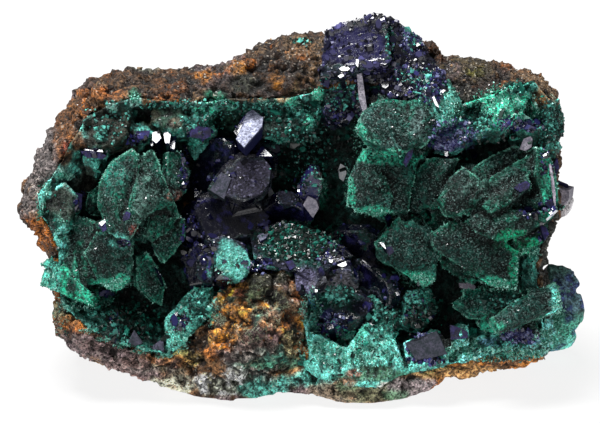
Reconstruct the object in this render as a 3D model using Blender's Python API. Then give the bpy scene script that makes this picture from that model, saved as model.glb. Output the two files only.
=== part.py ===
"""Azurite and malachite specimen, modelled in metres with +Z up.

Run with: blender --background --python part.py

The specimen is a lump of iron-oxide rock with an open pocket. The origin is under its middle,
on the surface that it rests on. Its front faces -Y and leans back by FACE_TILT.

The front view is laid out on a grid with steps of 0.15 mm, x to the right and y down, whose
middle is (300, 210). A point is given by its two grid numbers and by how far it stands out
from the face, in millimetres.
"""

import math

import bmesh
import bpy
from mathutils import Matrix, Vector, noise

# Sizes that drive the model, in millimetres unless the name says otherwise
MM = 0.001
GRID_STEP = 0.15
GRID_MIDDLE = (300, 210)
FACE_TILT = math.radians(20)
REST_HEIGHT = 27.5
ORIGIN_ACROSS = -0.29
ORIGIN_DEPTH = -14.95
SEAT_GAP = 0.3
AROUND = 62
POCKET_DEPTH = 12.0
CRUST_THICKNESS = 2.0
ROCK_ROUGHNESS = 0.9

OBJECT_NAME = "azurite_malachite_specimen"

# name: base colour, roughness
MATERIALS = {
    "limonite_rock": ((0.19, 0.105, 0.055), 0.9),
    "malachite_lining": ((0.03, 0.30, 0.21), 0.75),
    "malachite_velvet": ((0.012, 0.10, 0.065), 0.8),
    "malachite_bright": ((0.02, 0.22, 0.15), 0.75),
    "azurite": ((0.012, 0.016, 0.10), 0.18),
    "azurite_malachite_mix": ((0.01, 0.06, 0.09), 0.45),
}

# Outlines of the front view, in grid numbers
ROCK_OUTLINE = [
    (14, 215), (19, 192), (32, 155), (47, 130), (60, 110), (77, 86), (96, 75), (116, 71),
    (145, 62), (175, 73), (200, 66), (231, 62), (252, 47), (272, 34), (309, 29), (330, 33),
    (370, 40), (417, 41), (437, 37), (450, 55), (479, 60), (508, 58), (530, 73), (556, 76),
    (559, 107), (568, 118), (558, 135), (563, 148), (559, 175), (562, 200), (558, 221),
    (554, 240), (545, 262), (552, 300), (556, 330), (551, 354), (531, 376), (504, 362),
    (487, 373), (441, 378), (428, 392), (390, 405), (346, 405), (298, 391), (267, 398),
    (216, 403), (164, 389), (114, 369), (70, 354), (53, 331), (54, 300), (49, 275),
    (44, 250), (26, 228),
]
CRUST_OUTLINE = [
    (38, 212), (38, 190), (50, 176), (62, 158), (72, 140), (80, 125), (95, 108), (130, 96),
    (160, 100), (200, 102), (230, 97), (285, 98), (315, 90), (345, 84), (400, 84), (440, 100),
    (470, 118), (490, 103), (508, 87), (532, 80), (549, 84), (551, 112), (556, 122), (550, 148),
    (550, 175), (552, 200), (549, 221), (545, 240), (536, 262), (542, 300), (546, 330),
    (541, 345), (505, 350), (470, 362), (410, 372), (370, 386), (330, 378), (302, 366),
    (300, 345), (308, 325), (305, 300), (290, 275), (260, 268), (235, 283), (215, 300),
    (196, 338), (190, 362), (165, 356), (120, 346), (75, 320), (60, 303), (56, 285),
    (57, 262), (58, 240), (46, 228),
]
MIDDLE = (300, 215)


def face_matrix():
    """Takes millimetres across, up and out of the face to metres in the world."""
    tilt = Matrix.Rotation(math.radians(90) - FACE_TILT, 4, "X")
    lift = Matrix.Translation((ORIGIN_ACROSS * MM, ORIGIN_DEPTH * MM, REST_HEIGHT * MM))
    return lift @ tilt @ Matrix.Diagonal((MM, MM, MM, 1))


FACE_TO_WORLD = face_matrix()


def on_face(x, y, out):
    """A grid point of the front view, in millimetres across, up and out."""
    return Vector(((x - GRID_MIDDLE[0]) * GRID_STEP, (GRID_MIDDLE[1] - y) * GRID_STEP, out))


def smooth_noise(point, size, seed):
    return noise.noise(point / size + Vector((seed * 7.3, seed * 3.1, seed * 5.7)))


# Scene, collections and materials
def clear_scene():
    for thing in list(bpy.data.objects):
        bpy.data.objects.remove(thing, do_unlink=True)


def new_collection(name):
    collection = bpy.data.collections.new(name)
    bpy.context.scene.collection.children.link(collection)
    return collection


def make_material(name):
    colour, roughness = MATERIALS[name]
    material = bpy.data.materials.new(name)
    material.use_nodes = True
    shader = material.node_tree.nodes["Principled BSDF"]
    shader.inputs["Base Color"].default_value = (*colour, 1)
    shader.inputs["Roughness"].default_value = roughness
    shader.inputs["Metallic"].default_value = 0.0
    material.diffuse_color = (*colour, 1)
    return material


# Rock and crust: one loft around the pocket's axis
def reach(outline, angle):
    """How far an outline lies from MIDDLE in one direction, in millimetres."""
    direction = Vector((math.cos(angle), math.sin(angle)))
    corners = [on_face(x, y, 0).to_2d() - on_face(*MIDDLE, 0).to_2d() for x, y in outline]
    best = 0.0
    for start, end in zip(corners, corners[1:] + corners[:1]):
        edge = end - start
        across = direction.x * edge.y - direction.y * edge.x
        if abs(across) < 1e-9:
            continue
        along = (start.x * edge.y - start.y * edge.x) / across
        share = (start.x * direction.y - start.y * direction.x) / across
        if -1e-6 <= share <= 1 + 1e-6 and along > best:
            best = along
    return best


def loft_angles():
    """Directions spaced evenly along an oval as wide as the rock."""
    turns = [2 * math.pi * i / AROUND for i in range(AROUND)]
    return [math.atan2(29.0 * math.sin(t), 43.0 * math.cos(t)) for t in turns]


ANGLES = loft_angles()
ROCK_REACH = [reach(ROCK_OUTLINE, angle) for angle in ANGLES]
CRUST_REACH = [reach(CRUST_OUTLINE, angle) for angle in ANGLES]

# share of the rock's outline, and how far out of the face, from the back forward
BACK_RINGS = [(0.34, -38.2), (0.64, -35.0), (0.83, -29.0), (0.93, -22.5), (0.98, -17.0)]
# share of a quarter turn from the crust's edge down to the pocket's bottom
POCKET_RINGS = [0.0, 0.14, 0.42, 0.76]

# lumps of the rock's front and rim: grid x, grid y, radius and height in millimetres
ROCK_LUMPS = [
    (258, 325, 7.0, 1.2), (225, 345, 5.0, 1.2), (120, 84, 3.5, 1.2), (230, 64, 3.5, 1.2),
    (100, 92, 4.0, 2.4), (68, 147, 3.5, 2.0), (250, 70, 5.0, 1.8), (195, 82, 4.0, 1.5),
    (282, 60, 4.5, 1.8), (150, 82, 4.5, 1.2), (45, 235, 4.0, 1.8), (470, 85, 5.5, 2.0),
    (545, 92, 3.5, 1.6), (500, 75, 3.5, 1.2), (90, 345, 5.0, 2.0), (140, 370, 5.5, 2.2),
    (205, 385, 4.5, 1.8), (360, 394, 4.0, 1.2), (435, 384, 3.0, 1.0), (330, 392, 3.5, 1.2),
]
ROCK_PITS = [
    (170, 92, 3.0, 1.6), (215, 90, 2.5, 1.2), (120, 84, 2.5, 1.3), (265, 80, 2.5, 1.2),
    (60, 175, 2.5, 1.2), (440, 70, 3.5, 2.0), (485, 98, 3.0, 1.6), (110, 357, 3.0, 1.6),
    (175, 375, 3.0, 1.4), (255, 385, 3.5, 1.6), (385, 396, 3.0, 1.2), (272, 345, 2.2, 1.2),
]


def relief(point):
    """Height of the lumps and pits at a point of the front."""
    height = 0.0
    for x, y, radius, rise in ROCK_LUMPS:
        apart = (point.to_2d() - on_face(x, y, 0).to_2d()).length / radius
        height += rise * math.exp(-apart * apart * 1.4)
    for x, y, radius, drop in ROCK_PITS:
        apart = (point.to_2d() - on_face(x, y, 0).to_2d()).length / radius
        height -= drop * math.exp(-apart * apart * 1.4)
    return height


def ring_point(angle, radius, out):
    middle = on_face(*MIDDLE, 0)
    return Vector((middle.x + radius * math.cos(angle), middle.y + radius * math.sin(angle), out))


def widest_out(angle):
    """The rock is widest well behind its face at the top, and at its face at the bottom."""
    upward = math.sin(angle)
    return -6.5 - 7.0 * upward - 3.5 * abs(math.cos(angle)) ** 2 * (1 if upward > -0.4 else 0.5)


def edge_out(angle):
    """How far out the crust's edge lies."""
    upward = math.sin(angle)
    return -1.6 - 1.8 * max(0.0, upward) + 1.4 * max(0.0, -upward)


def pocket_point(i, turn, deeper):
    """A point of the pocket's wall, from the crust's edge (turn 0) to its bottom (turn 1)."""
    angle = ANGLES[i]
    quarter = turn * math.pi / 2
    radius = CRUST_REACH[i] * math.cos(quarter) ** 0.8
    out = edge_out(angle) - (POCKET_DEPTH + deeper) * math.sin(quarter) ** 0.9
    point = ring_point(angle, radius, out)
    swell = relief(point) * max(0.0, 1 - turn * 2.2)
    rough = smooth_noise(point, 5.0, 3) * 1.1 + smooth_noise(point, 2.4, 4) * 0.5
    point.z += swell + rough * (0.5 + turn)
    return point


def rock_rings():
    """The rings of the rock's outside, from the back forward to the crust's edge."""
    rings = []
    for share, out in BACK_RINGS:
        ring = []
        for angle, wide in zip(ANGLES, ROCK_REACH):
            point = ring_point(angle, wide * share, out + 6.0 * max(0.0, -math.sin(angle)) * (1 - share))
            # the broken back has hollows, small lumps and ledges, fading towards its middle
            fade = min(1.0, max(0.0, (share - 0.3) / 0.35))
            swing = smooth_noise(point, 14.0, 1) * 4.5
            swing += smooth_noise(point, 5.0, 2) * 2.8 * fade
            swing += 1.1 * round(smooth_noise(point, 8.0, 5) * 4) * fade
            lean = 1.2 * share ** 3
            outward = Vector((math.cos(angle) * lean, math.sin(angle) * lean, share - 1.15))
            if share > 0.9:
                swing = min(swing, 0.0) * 0.8
            point += outward.normalized() * (swing * ROCK_ROUGHNESS - 0.5)
            ring.append(point)
        rings.append(ring)
    for share, forward in ((1.0, 0.0), (0.985, 0.34)):
        ring = []
        for angle, wide in zip(ANGLES, ROCK_REACH):
            start = widest_out(angle)
            out = start + (edge_out(angle) - start) * forward
            point = ring_point(angle, wide * share, out)
            point.z += smooth_noise(point, 6.0, 6) * 1.6
            ring.append(point)
        rings.append(ring)
    for part in (0.78, 0.5, 0.25):
        ring = []
        for i, angle in enumerate(ANGLES):
            inner = CRUST_REACH[i]
            outer = ROCK_REACH[i]
            radius = inner + (outer - inner) * part
            start = widest_out(angle)
            end = edge_out(angle)
            out = start + (end - start) * (1 - part) ** 0.45
            point = ring_point(angle, radius, out)
            rough = smooth_noise(point, 5.0, 7) * 2.6 + smooth_noise(point, 2.4, 8) * 1.5
            point.z += relief(point) + rough * ROCK_ROUGHNESS
            ring.append(point)
        rings.append(ring)
    return rings


def flat_rest(point):
    """Brings a face point down to the flat base that the rock rests on."""
    world = FACE_TO_WORLD @ point
    world.z = max(world.z, 0.0)
    return FACE_TO_WORLD.inverted() @ world


def loft(rings, first_pole, last_pole, turned=0):
    """A closed mesh through rings of equal length, with a pole at each end.

    Its four-sided faces are split the same way on surfaces that lie over each other, so that
    they stay apart. The first `turned` bands run backward and are split the other way.
    """
    mesh = bmesh.new()
    rows = [[mesh.verts.new(point) for point in ring] for ring in rings]
    start = mesh.verts.new(first_pole)
    end = mesh.verts.new(last_pole)
    count = len(rows[0])
    for i in range(count):
        j = (i + 1) % count
        mesh.faces.new((start, rows[0][j], rows[0][i]))
        mesh.faces.new((end, rows[-1][i], rows[-1][j]))
    for band, (low, high) in enumerate(zip(rows, rows[1:])):
        for i in range(count):
            j = (i + 1) % count
            if band < turned:
                mesh.faces.new((low[i], low[j], high[i]))
                mesh.faces.new((low[j], high[j], high[i]))
            else:
                mesh.faces.new((low[i], low[j], high[j]))
                mesh.faces.new((low[i], high[j], high[i]))
    bmesh.ops.recalc_face_normals(mesh, faces=mesh.faces)
    return mesh


def pole_of(ring, out):
    middle = Vector((0, 0, 0))
    for point in ring:
        middle += point
    middle /= len(ring)
    middle.z = out
    return middle


def pocket_rings(deeper):
    return [[pocket_point(i, turn, deeper) for i in range(AROUND)] for turn in POCKET_RINGS]


def pocket_normals(rings, pole):
    """Unit normals of the pocket's wall at each ring point and at its bottom."""
    mesh = bmesh.new()
    rows = [[mesh.verts.new(point) for point in ring] for ring in rings]
    bottom = mesh.verts.new(pole)
    for low, high in zip(rows, rows[1:]):
        for i in range(AROUND):
            j = (i + 1) % AROUND
            mesh.faces.new((low[i], low[j], high[j], high[i]))
    for i in range(AROUND):
        mesh.faces.new((bottom, rows[-1][i], rows[-1][(i + 1) % AROUND]))
    mesh.normal_update()
    sign = 1 if bottom.normal.z > 0 else -1
    normals = [[vert.normal * sign for vert in row] for row in rows]
    # at the crust's edge the rock turns over, so the edge is lifted straight out of the face
    normals[0] = [(normal * 0.35 + Vector((0, 0, 1))).normalized() for normal in normals[0]]
    pole_normal = bottom.normal * sign
    mesh.free()
    return normals, pole_normal


def offset_rings(rings, normals, heights):
    moved = []
    for ring, row, height in zip(rings, normals, heights):
        out = []
        for point, normal in zip(ring, row):
            knob = smooth_noise(point, 2.6, 11) * 0.7 + smooth_noise(point, 5.0, 12) * 0.5
            out.append(point + normal * (height + (knob if height > 1.2 else 0.0)))
        moved.append(out)
    return moved


# Crystals: flat plates, fans and prisms
def flat_solid(corners, origin, along, across, thick, crown, grow):
    """A plate with the given outline corners, each (along, across) in millimetres."""
    middle = Vector((0, 0))
    for corner in corners:
        middle += Vector(corner)
    middle /= len(corners)
    normal = along.cross(across).normalized()
    mesh = bmesh.new()
    rows = []
    for side in (1, -1):
        row = []
        for corner in corners:
            spot = Vector(corner) - middle
            if grow and spot.length > 0:
                spot += spot.normalized() * grow * 1.5
            spot += middle
            height = side * (thick / 2 + grow)
            row.append(mesh.verts.new(origin + along * spot.x + across * spot.y + normal * height))
        rows.append(row)
    count = len(corners)
    for i in range(count):
        j = (i + 1) % count
        mesh.faces.new((rows[0][i], rows[0][j], rows[1][j], rows[1][i]))
    for side, row in zip((1, -1), rows):
        if crown:
            peak = side * (thick / 2 + crown + grow)
            top = mesh.verts.new(origin + along * middle.x + across * middle.y + normal * peak)
            for i in range(count):
                mesh.faces.new((row[i], row[(i + 1) % count], top))
        else:
            mesh.faces.new(row)
    bmesh.ops.recalc_face_normals(mesh, faces=mesh.faces)
    return mesh


def axes_between(root, tip, roll):
    """Axes of a crystal from root to tip; with roll 0 its broad face turns to the front."""
    along = tip - root
    length = along.length
    along.normalize()
    facing = Vector((0, 0, 1))
    across = facing.cross(along)
    if across.length < 0.05:
        across = Vector((1, 0, 0))
    across.normalize()
    across = Matrix.Rotation(math.radians(roll), 3, along) @ across
    return along, across, length


def fan(root, tip, width, roll=0, thick=1.1, crown=0.7, lobes=3, waist=0.45):
    """A malachite blade: narrow at its root, widening to a scalloped edge."""
    root = on_face(*root)
    tip = on_face(*tip)
    along, across, length = axes_between(root, tip, roll)
    half = width / 2
    corners = [(0, -half * waist), (length * 0.5, -half * 0.95)]
    steps = 2 * lobes - 1
    for k in range(steps):
        side = -1 + 2 * (k + 0.5) / steps
        droop = 0.30 * length * abs(side) ** 2.2
        notch = 0.0 if k % 2 == 0 else min(0.9, 0.07 * length)
        corners.append((length - droop - notch, half * side))
    corners += [(length * 0.5, half * 0.95), (0, half * waist)]
    return lambda grow: flat_solid(corners, root, along, across, thick, crown, grow)


def tablet(root, tip, width, roll=0, thick=1.6, bevel=0.28):
    """An azurite crystal: a plate with parallel sides and chisel-shaped ends."""
    root = on_face(*root)
    tip = on_face(*tip)
    along, across, length = axes_between(root, tip, roll)
    half = width / 2
    cut = min(length * 0.35, width * bevel)
    corners = [
        (0, -half * 0.5), (cut, -half), (length - cut, -half), (length, -half * 0.35),
        (length, half * 0.5), (length - cut * 0.8, half), (cut, half), (0, half * 0.35),
    ]
    return lambda grow: flat_solid(corners, root, along, across, thick, 0.0, grow)


def plate(outline, out, lean=(0.0, 0.0), thick=1.8, crown=0.0):
    """A plate seen from the front with this outline; lean tips it right and up."""
    spots = [on_face(x, y, 0) for x, y in outline]
    middle = sum((spot for spot in spots), Vector((0, 0, 0))) / len(spots)
    origin = Vector((middle.x, middle.y, out))
    along = Vector((1, 0, lean[0]))
    across = Vector((0, 1, lean[1]))
    along.normalize()
    across = (across - along * across.dot(along)).normalized()
    corners = []
    for spot in spots:
        gap = spot - middle
        target = Vector((gap.x, gap.y, lean[0] * gap.x + lean[1] * gap.y))
        corners.append((target.dot(along), target.dot(across)))
    return lambda grow: flat_solid(corners, origin, along, across, thick, crown, grow)


def lump(x, y, out, radii, seed=1, detail=1):
    """A rounded, knobby mass."""
    centre = on_face(x, y, out)

    def build(grow):
        mesh = bmesh.new()
        bmesh.ops.create_icosphere(mesh, subdivisions=detail, radius=1.0)
        for vert in mesh.verts:
            unit = vert.co.normalized()
            swell = 1.05 + 0.3 * smooth_noise(unit, 0.6, seed)
            spot = Vector((unit.x * radii[0], unit.y * radii[1], unit.z * radii[2])) * swell
            vert.co = centre + spot + unit * grow * 1.6
        return mesh

    return build


# Joining crystals into clusters
def mesh_object(name, mesh, collection):
    mesh.transform(FACE_TO_WORLD)
    data = bpy.data.meshes.new(name)
    mesh.to_mesh(data)
    mesh.free()
    thing = bpy.data.objects.new(name, data)
    collection.objects.link(thing)
    return thing


def as_cutter(thing):
    thing.hide_render = True
    thing.display_type = "WIRE"


def keep_largest_body(data):
    """Drops crumbs that a cut has parted from the main body."""
    mesh = bmesh.new()
    mesh.from_mesh(data)
    bmesh.ops.remove_doubles(mesh, verts=mesh.verts, dist=0.000001)
    unseen = set(mesh.faces)
    bodies = []
    while unseen:
        stack = [unseen.pop()]
        body = set(stack)
        while stack:
            for edge in stack.pop().edges:
                for face in edge.link_faces:
                    if len(edge.link_faces) == 2 and face in unseen:
                        unseen.discard(face)
                        body.add(face)
                        stack.append(face)
        bodies.append(body)
    bodies.sort(key=len, reverse=True)
    crumbs = [face for body in bodies[1:] for face in body]
    bmesh.ops.delete(mesh, geom=crumbs, context="FACES")
    mesh.to_mesh(data)
    mesh.free()


def settle(thing):
    """Replaces an object's mesh with what its modifiers make of it."""
    graph = bpy.context.evaluated_depsgraph_get()
    graph.update()
    data = bpy.data.meshes.new_from_object(thing.evaluated_get(graph))
    thing.modifiers.clear()
    thing.data = data
    data.name = thing.name


def add_boolean(thing, operation, collection):
    cut = thing.modifiers.new(operation.lower(), "BOOLEAN")
    cut.operation = operation
    cut.operand_type = "COLLECTION"
    cut.collection = collection
    cut.solver = "EXACT"


def remove_all(collection):
    for thing in list(collection.objects):
        bpy.data.objects.remove(thing, do_unlink=True)
    bpy.data.collections.remove(collection)


def grown_set(name, builders):
    """Crystals made bigger by the seat gap, for cutting clear room for them."""
    collection = new_collection(name)
    for k, build in enumerate(builders):
        as_cutter(mesh_object(f"{name}_{k}", build(SEAT_GAP), collection))
    return collection


def join_crystals(name, builders, collection):
    """One mesh of the crystals, joined where they grew into each other."""
    pieces = new_collection(name + "_crystals")
    main = mesh_object(name, builders[0](0.0), collection)
    for k, build in enumerate(builders[1:]):
        as_cutter(mesh_object(f"{name}_{k + 2}", build(0.0), pieces))
    add_boolean(main, "UNION", pieces)
    settle(main)
    remove_all(pieces)
    return main


def cluster(name, builders, seats):
    """One solid of crystals that grew into each other, cut clear of what it sits against."""
    main = join_crystals(name, builders, PARTS)
    for seat in seats:
        add_boolean(main, "DIFFERENCE", seat)
        settle(main)
    keep_largest_body(main.data)
    return main


def build_rock():
    rings = rock_rings() + pocket_rings(CRUST_THICKNESS + SEAT_GAP)
    rings = [[flat_rest(point) for point in ring] for ring in rings]
    floor = pole_of(rings[-1], edge_out(0) - POCKET_DEPTH - CRUST_THICKNESS - SEAT_GAP)
    back = pole_of(rings[0], BACK_RINGS[0][1] - 0.8)
    return mesh_object("matrix", loft(rings, back, floor), PARTS)


def crust_surfaces(first, second):
    """Two surfaces over the pocket's wall, at these heights over the rock."""
    wall = pocket_rings(CRUST_THICKNESS + SEAT_GAP)
    bottom = pole_of(wall[-1], edge_out(0) - POCKET_DEPTH - CRUST_THICKNESS - SEAT_GAP)
    normals, pole_normal = pocket_normals(wall, bottom)
    under = offset_rings(wall, normals, first)
    over = offset_rings(wall, normals, second)
    return under, over, bottom + pole_normal * first[-1], bottom + pole_normal * second[-1]


def build_lining():
    thick = CRUST_THICKNESS
    low = [SEAT_GAP] * len(POCKET_RINGS)
    high = [0.8] + [thick + SEAT_GAP] * (len(POCKET_RINGS) - 1)
    under, over, under_pole, over_pole = crust_surfaces(low, high)
    rings = list(reversed(under)) + over
    return loft(rings, under_pole, over_pole, turned=len(under) - 1)


def build_seat(edge_height, wall_height):
    """The rock, made bigger by the seat gap, with its pocket filled to these heights."""
    high = [edge_height] + [wall_height] * (len(POCKET_RINGS) - 1)
    _, over, _, over_pole = crust_surfaces(high, high)
    rings = []
    for ring in rock_rings():
        grown = []
        for angle, point in zip(ANGLES, ring):
            outward = Vector((math.cos(angle) * 0.6, math.sin(angle) * 0.6, 0.0))
            front = 0.6 if point.z > -9 else 0.0
            grown.append(point + outward * SEAT_GAP * 2 + Vector((0, 0, front)))
        rings.append(grown)
    back = pole_of(rings[0], BACK_RINGS[0][1] - 2.0)
    return loft(rings + over, back, over_pole)


# The rounded knobs of limonite at the lower middle of the front
BOSS = [
    lump(257, 330, -1.4, (6.9, 8.0, 5.2), seed=20, detail=2),
    lump(227, 352, -0.6, (4.4, 4.2, 3.6), seed=21, detail=2),
    lump(284, 306, -1.6, (3.7, 4.4, 3.8), seed=22, detail=2),
]

# The blocky masses of the rock's broken back
BACK_MASSES = [
    lump(296, 208, -31.6, (15.3, 11.8, 9.8), seed=30, detail=1),
    lump(206, 226, -28.6, (13.4, 10.8, 10.2), seed=31, detail=1),
    lump(396, 222, -28.8, (13.9, 11.3, 10.2), seed=32, detail=1),
    lump(342, 146, -27.6, (13.8, 9.8, 9.6), seed=33, detail=1),
]

# The crystals of each cluster
ROSETTE = [
    plate([(133, 149), (111, 163), (100, 185), (98, 208), (109, 231), (117, 239), (129, 240),
           (122, 226), (129, 196), (142, 157)], 1.6, lean=(0.42, -0.25), thick=1.8, crown=0.8),
    plate([(142, 155), (153, 151), (167, 187), (175, 206), (155, 212), (142, 222), (130, 241),
           (122, 227), (128, 200)], 2.0, lean=(-0.32, -0.22), thick=1.8, crown=0.9),
    plate([(168, 190), (175, 206), (179, 217), (167, 229), (152, 243), (143, 237), (151, 215)],
          0.3, lean=(-0.35, -0.1), thick=1.7, crown=0.7),
    plate([(172, 205), (184, 222), (184, 236), (174, 252), (162, 264), (152, 246), (160, 225)],
          -1.4, lean=(-0.5, 0.05), thick=1.7, crown=0.7),
    plate([(98, 228), (118, 238), (134, 241), (133, 262), (131, 279), (122, 290), (109, 291),
           (97, 280), (84, 252)], 0.9, lean=(0.12, 0.12), thick=1.7, crown=0.9),
    plate([(76, 214), (98, 222), (106, 250), (102, 284), (84, 287), (74, 240)],
          -1.2, lean=(0.5, -0.05), thick=1.7, crown=0.6),
    plate([(62, 221), (74, 238), (82, 283), (96, 297), (95, 308), (60, 295), (43, 286), (43, 276),
           (56, 250)], -1.6, lean=(0.3, -0.25), thick=2.2, crown=0.9),
    plate([(134, 256), (146, 251), (156, 266), (164, 282), (161, 307), (152, 303), (134, 286)],
          -1.9, lean=(-0.35, 0.1), thick=1.7, crown=0.7),
    plate([(164, 152), (180, 155), (188, 172), (185, 193), (174, 203), (163, 184)],
          -2.2, lean=(-0.5, -0.2), thick=2.0, crown=0.5),
    fan((110, 285, -7.5), (72, 318, -3.4), 6.5, roll=15, thick=1.8, crown=0.7, lobes=2),
    fan((120, 190, -7.5), (84, 206, -3.2), 5.6, roll=-45, thick=1.4, crown=0.6, lobes=2),
    lump(136, 200, -3.4, (5.4, 7.2, 3.8), seed=2),
    lump(112, 258, -4.2, (5.6, 5.2, 4.2), seed=15),
]
CENTRE_FANS = [
    plate([(355, 129), (361, 115), (373, 104), (390, 100), (407, 101), (421, 116), (424, 134),
           (414, 148), (392, 156), (366, 143)], 1.4, lean=(-0.1, -0.45), thick=2.2, crown=1.2),
    plate([(408, 101), (428, 98), (441, 114), (440, 129), (424, 147), (404, 140)],
          0.7, lean=(-0.45, -0.35), thick=2.2, crown=0.8),
    plate([(424, 92), (446, 80), (463, 108), (458, 124), (436, 128)],
          -1.2, lean=(-0.5, -0.4), thick=2.6, crown=0.8),
    plate([(348, 200), (349, 178), (364, 149), (389, 149), (386, 172), (395, 197), (391, 213),
           (356, 212)], 0.2, lean=(0.25, -0.2), thick=2.0, crown=1.1),
    plate([(388, 149), (408, 144), (428, 150), (420, 172), (411, 190), (408, 213), (392, 213),
           (384, 180)], -0.5, lean=(-0.3, -0.15), thick=2.0, crown=1.0),
    plate([(373, 243), (390, 226), (413, 219), (430, 233), (437, 250), (437, 280), (424, 288),
           (404, 274), (383, 261)], 0.1, lean=(0.05, 0.15), thick=1.8, crown=1.0),
    fan((395, 225, -7.5), (384, 266, -2.4), 5.0, roll=-30, thick=1.4, crown=0.6, lobes=2),
    fan((380, 110, -7.5), (334, 95, -3.6), 5.5, roll=15, thick=1.8, crown=0.7, lobes=2),
    lump(392, 182, -3.6, (5.2, 8.0, 3.6), seed=3),
    lump(408, 128, -3.0, (6.0, 5.6, 3.4), seed=4),
    lump(410, 236, -4.2, (4.6, 6.0, 3.4), seed=16),
]
RIGHT_FANS = [
    plate([(419, 168), (434, 158), (458, 158), (448, 180), (437, 200), (421, 215), (409, 212),
           (410, 188)], -0.6, lean=(0.45, -0.1), thick=1.8, crown=1.0),
    plate([(437, 200), (448, 179), (462, 168), (480, 180), (483, 196), (476, 210), (460, 218),
           (444, 215)], 1.9, lean=(-0.15, -0.35), thick=2.0, crown=1.2),
    plate([(429, 234), (447, 222), (469, 220), (497, 238), (519, 250), (518, 280), (518, 292),
           (490, 286), (448, 259), (432, 248)], 1.7, lean=(-0.1, 0.05), thick=1.9, crown=1.1),
    plate([(462, 222), (480, 212), (499, 208), (529, 213), (558, 208), (553, 219), (524, 236),
           (497, 242), (474, 234)], 2.0, lean=(-0.18, -0.25), thick=1.8, crown=0.9),
    plate([(480, 208), (497, 190), (512, 177), (528, 177), (532, 187), (513, 204), (490, 216)],
          1.6, lean=(-0.15, -0.5), thick=1.6, crown=0.6),
    plate([(476, 196), (490, 178), (507, 168), (534, 153), (540, 171), (524, 180), (494, 200)],
          0.2, lean=(-0.2, -0.5), thick=1.6, crown=0.6),
    plate([(462, 184), (473, 168), (492, 156), (516, 146), (528, 152), (506, 168), (484, 182)],
          -1.4, lean=(-0.1, -0.4), thick=1.8, crown=0.6),
    plate([(534, 146), (545, 150), (553, 166), (556, 188), (557, 209), (542, 205), (532, 176)],
          -1.2, lean=(-0.5, -0.1), thick=2.0, crown=0.5),
    plate([(512, 240), (528, 230), (542, 223), (549, 231), (544, 242), (530, 250), (517, 260)],
          -0.2, lean=(-0.3, -0.1), thick=1.8, crown=0.6),
    plate([(428, 222), (440, 216), (456, 224), (452, 246), (440, 262), (428, 250)],
          -1.6, lean=(0.2, -0.1), thick=1.8, crown=0.6),
    fan((470, 235, -7.5), (474, 284, -2.6), 6.0, roll=-15, thick=1.6, crown=0.8),
    fan((512, 245, -7.5), (534, 266, -3.0), 5.0, roll=25, thick=1.5, crown=0.6, lobes=2),
    lump(462, 196, -3.2, (6.0, 5.6, 4.2), seed=5),
    lump(515, 202, -4.0, (6.2, 6.4, 4.4), seed=6),
    lump(482, 250, -3.6, (7.4, 4.8, 4.2), seed=17),
]
LOWER_BLADES = [
    plate([(488, 321), (512, 303), (555, 284), (561, 297), (559, 309), (498, 333)],
          1.4, lean=(-0.1, -0.6), thick=1.8, crown=0.7),
    plate([(452, 305), (470, 292), (510, 290), (545, 294), (528, 313), (470, 318)],
          -1.2, lean=(0.0, -0.5), thick=2.0, crown=0.6),
    fan((520, 328, -6.0), (567, 319, -1.4), 4.8, roll=10, thick=2.4, crown=0.6, lobes=2),
    tablet((500, 345, -3.0), (541, 330, -0.4), 3.6, roll=-20, thick=2.0),
    lump(514, 318, -2.8, (6.4, 3.4, 3.4), seed=7),
]
AZURITE = [
    plate([(208, 192), (223, 169), (240, 155), (262, 158), (272, 170), (270, 186), (262, 196),
           (245, 205)], -2.6, lean=(0.1, -0.30), thick=3.0),
    tablet((203, 198, -8.0), (232, 144, -4.0), 6.6, roll=-35, thick=3.0),
    tablet((238, 170, -8.6), (256, 126, -5.4), 3.2, roll=-15, thick=2.6),
    plate([(235, 137), (243, 148), (265, 118), (255, 105)], -4.0, lean=(0.19, -0.81), thick=2.8),
    tablet((262, 172, -8.0), (266, 142, -3.8), 3.8, roll=20, thick=2.0),
    plate([(190, 212), (212, 198), (250, 206), (266, 222), (250, 242), (205, 246)],
          -4.6, lean=(-0.3, -0.5), thick=3.8),
    tablet((225, 240, -8.0), (187, 212, -3.2), 6.2, roll=28, thick=2.4),
    plate([(186, 262), (200, 244), (218, 250), (217, 284), (194, 288)],
          -3.4, lean=(0.5, -0.2), thick=3.4),
    plate([(250, 236), (278, 226), (306, 230), (328, 246), (345, 262), (326, 274), (280, 276),
           (254, 262)], -2.0, lean=(0.05, -0.5), thick=2.4),
    tablet((262, 262, -6.0), (318, 282, 0.4), 5.8, roll=60, thick=2.2),
    tablet((300, 266, -6.0), (352, 284, -0.2), 5.2, roll=50, thick=2.0),
    plate([(295, 270), (322, 264), (327, 282), (312, 297), (297, 293)],
          0.4, lean=(0.1, -0.35), thick=2.6),
    tablet((310, 300, -5.0), (355, 273, 0.4), 3.9, roll=36, thick=1.8),
    tablet((322, 300, -5.5), (368, 318, -1.4), 5.4, roll=-40, thick=2.4),
    tablet((352, 268, -7.5), (394, 302, -1.6), 6.0, roll=44, thick=2.2),
    tablet((350, 286, -7.5), (384, 328, -2.0), 5.6, roll=-22, thick=2.2),
    tablet((300, 228, -8.5), (316, 168, -2.6), 3.0, roll=12, thick=1.8, bevel=0.9),
    tablet((268, 220, -8.5), (298, 202, -3.8), 5.6, roll=40, thick=2.4),
    tablet((335, 245, -8.5), (380, 246, -3.8), 5.8, roll=30, thick=2.4),
    plate([(213, 244), (224, 240), (244, 247), (252, 268), (244, 283), (217, 284)],
          -0.3, lean=(0.1, -0.3), thick=4.6),
    lump(300, 256, -5.6, (8.4, 4.6, 3.6), seed=8),
    lump(230, 222, -6.2, (6.4, 7.0, 3.4), seed=9),
]
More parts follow.
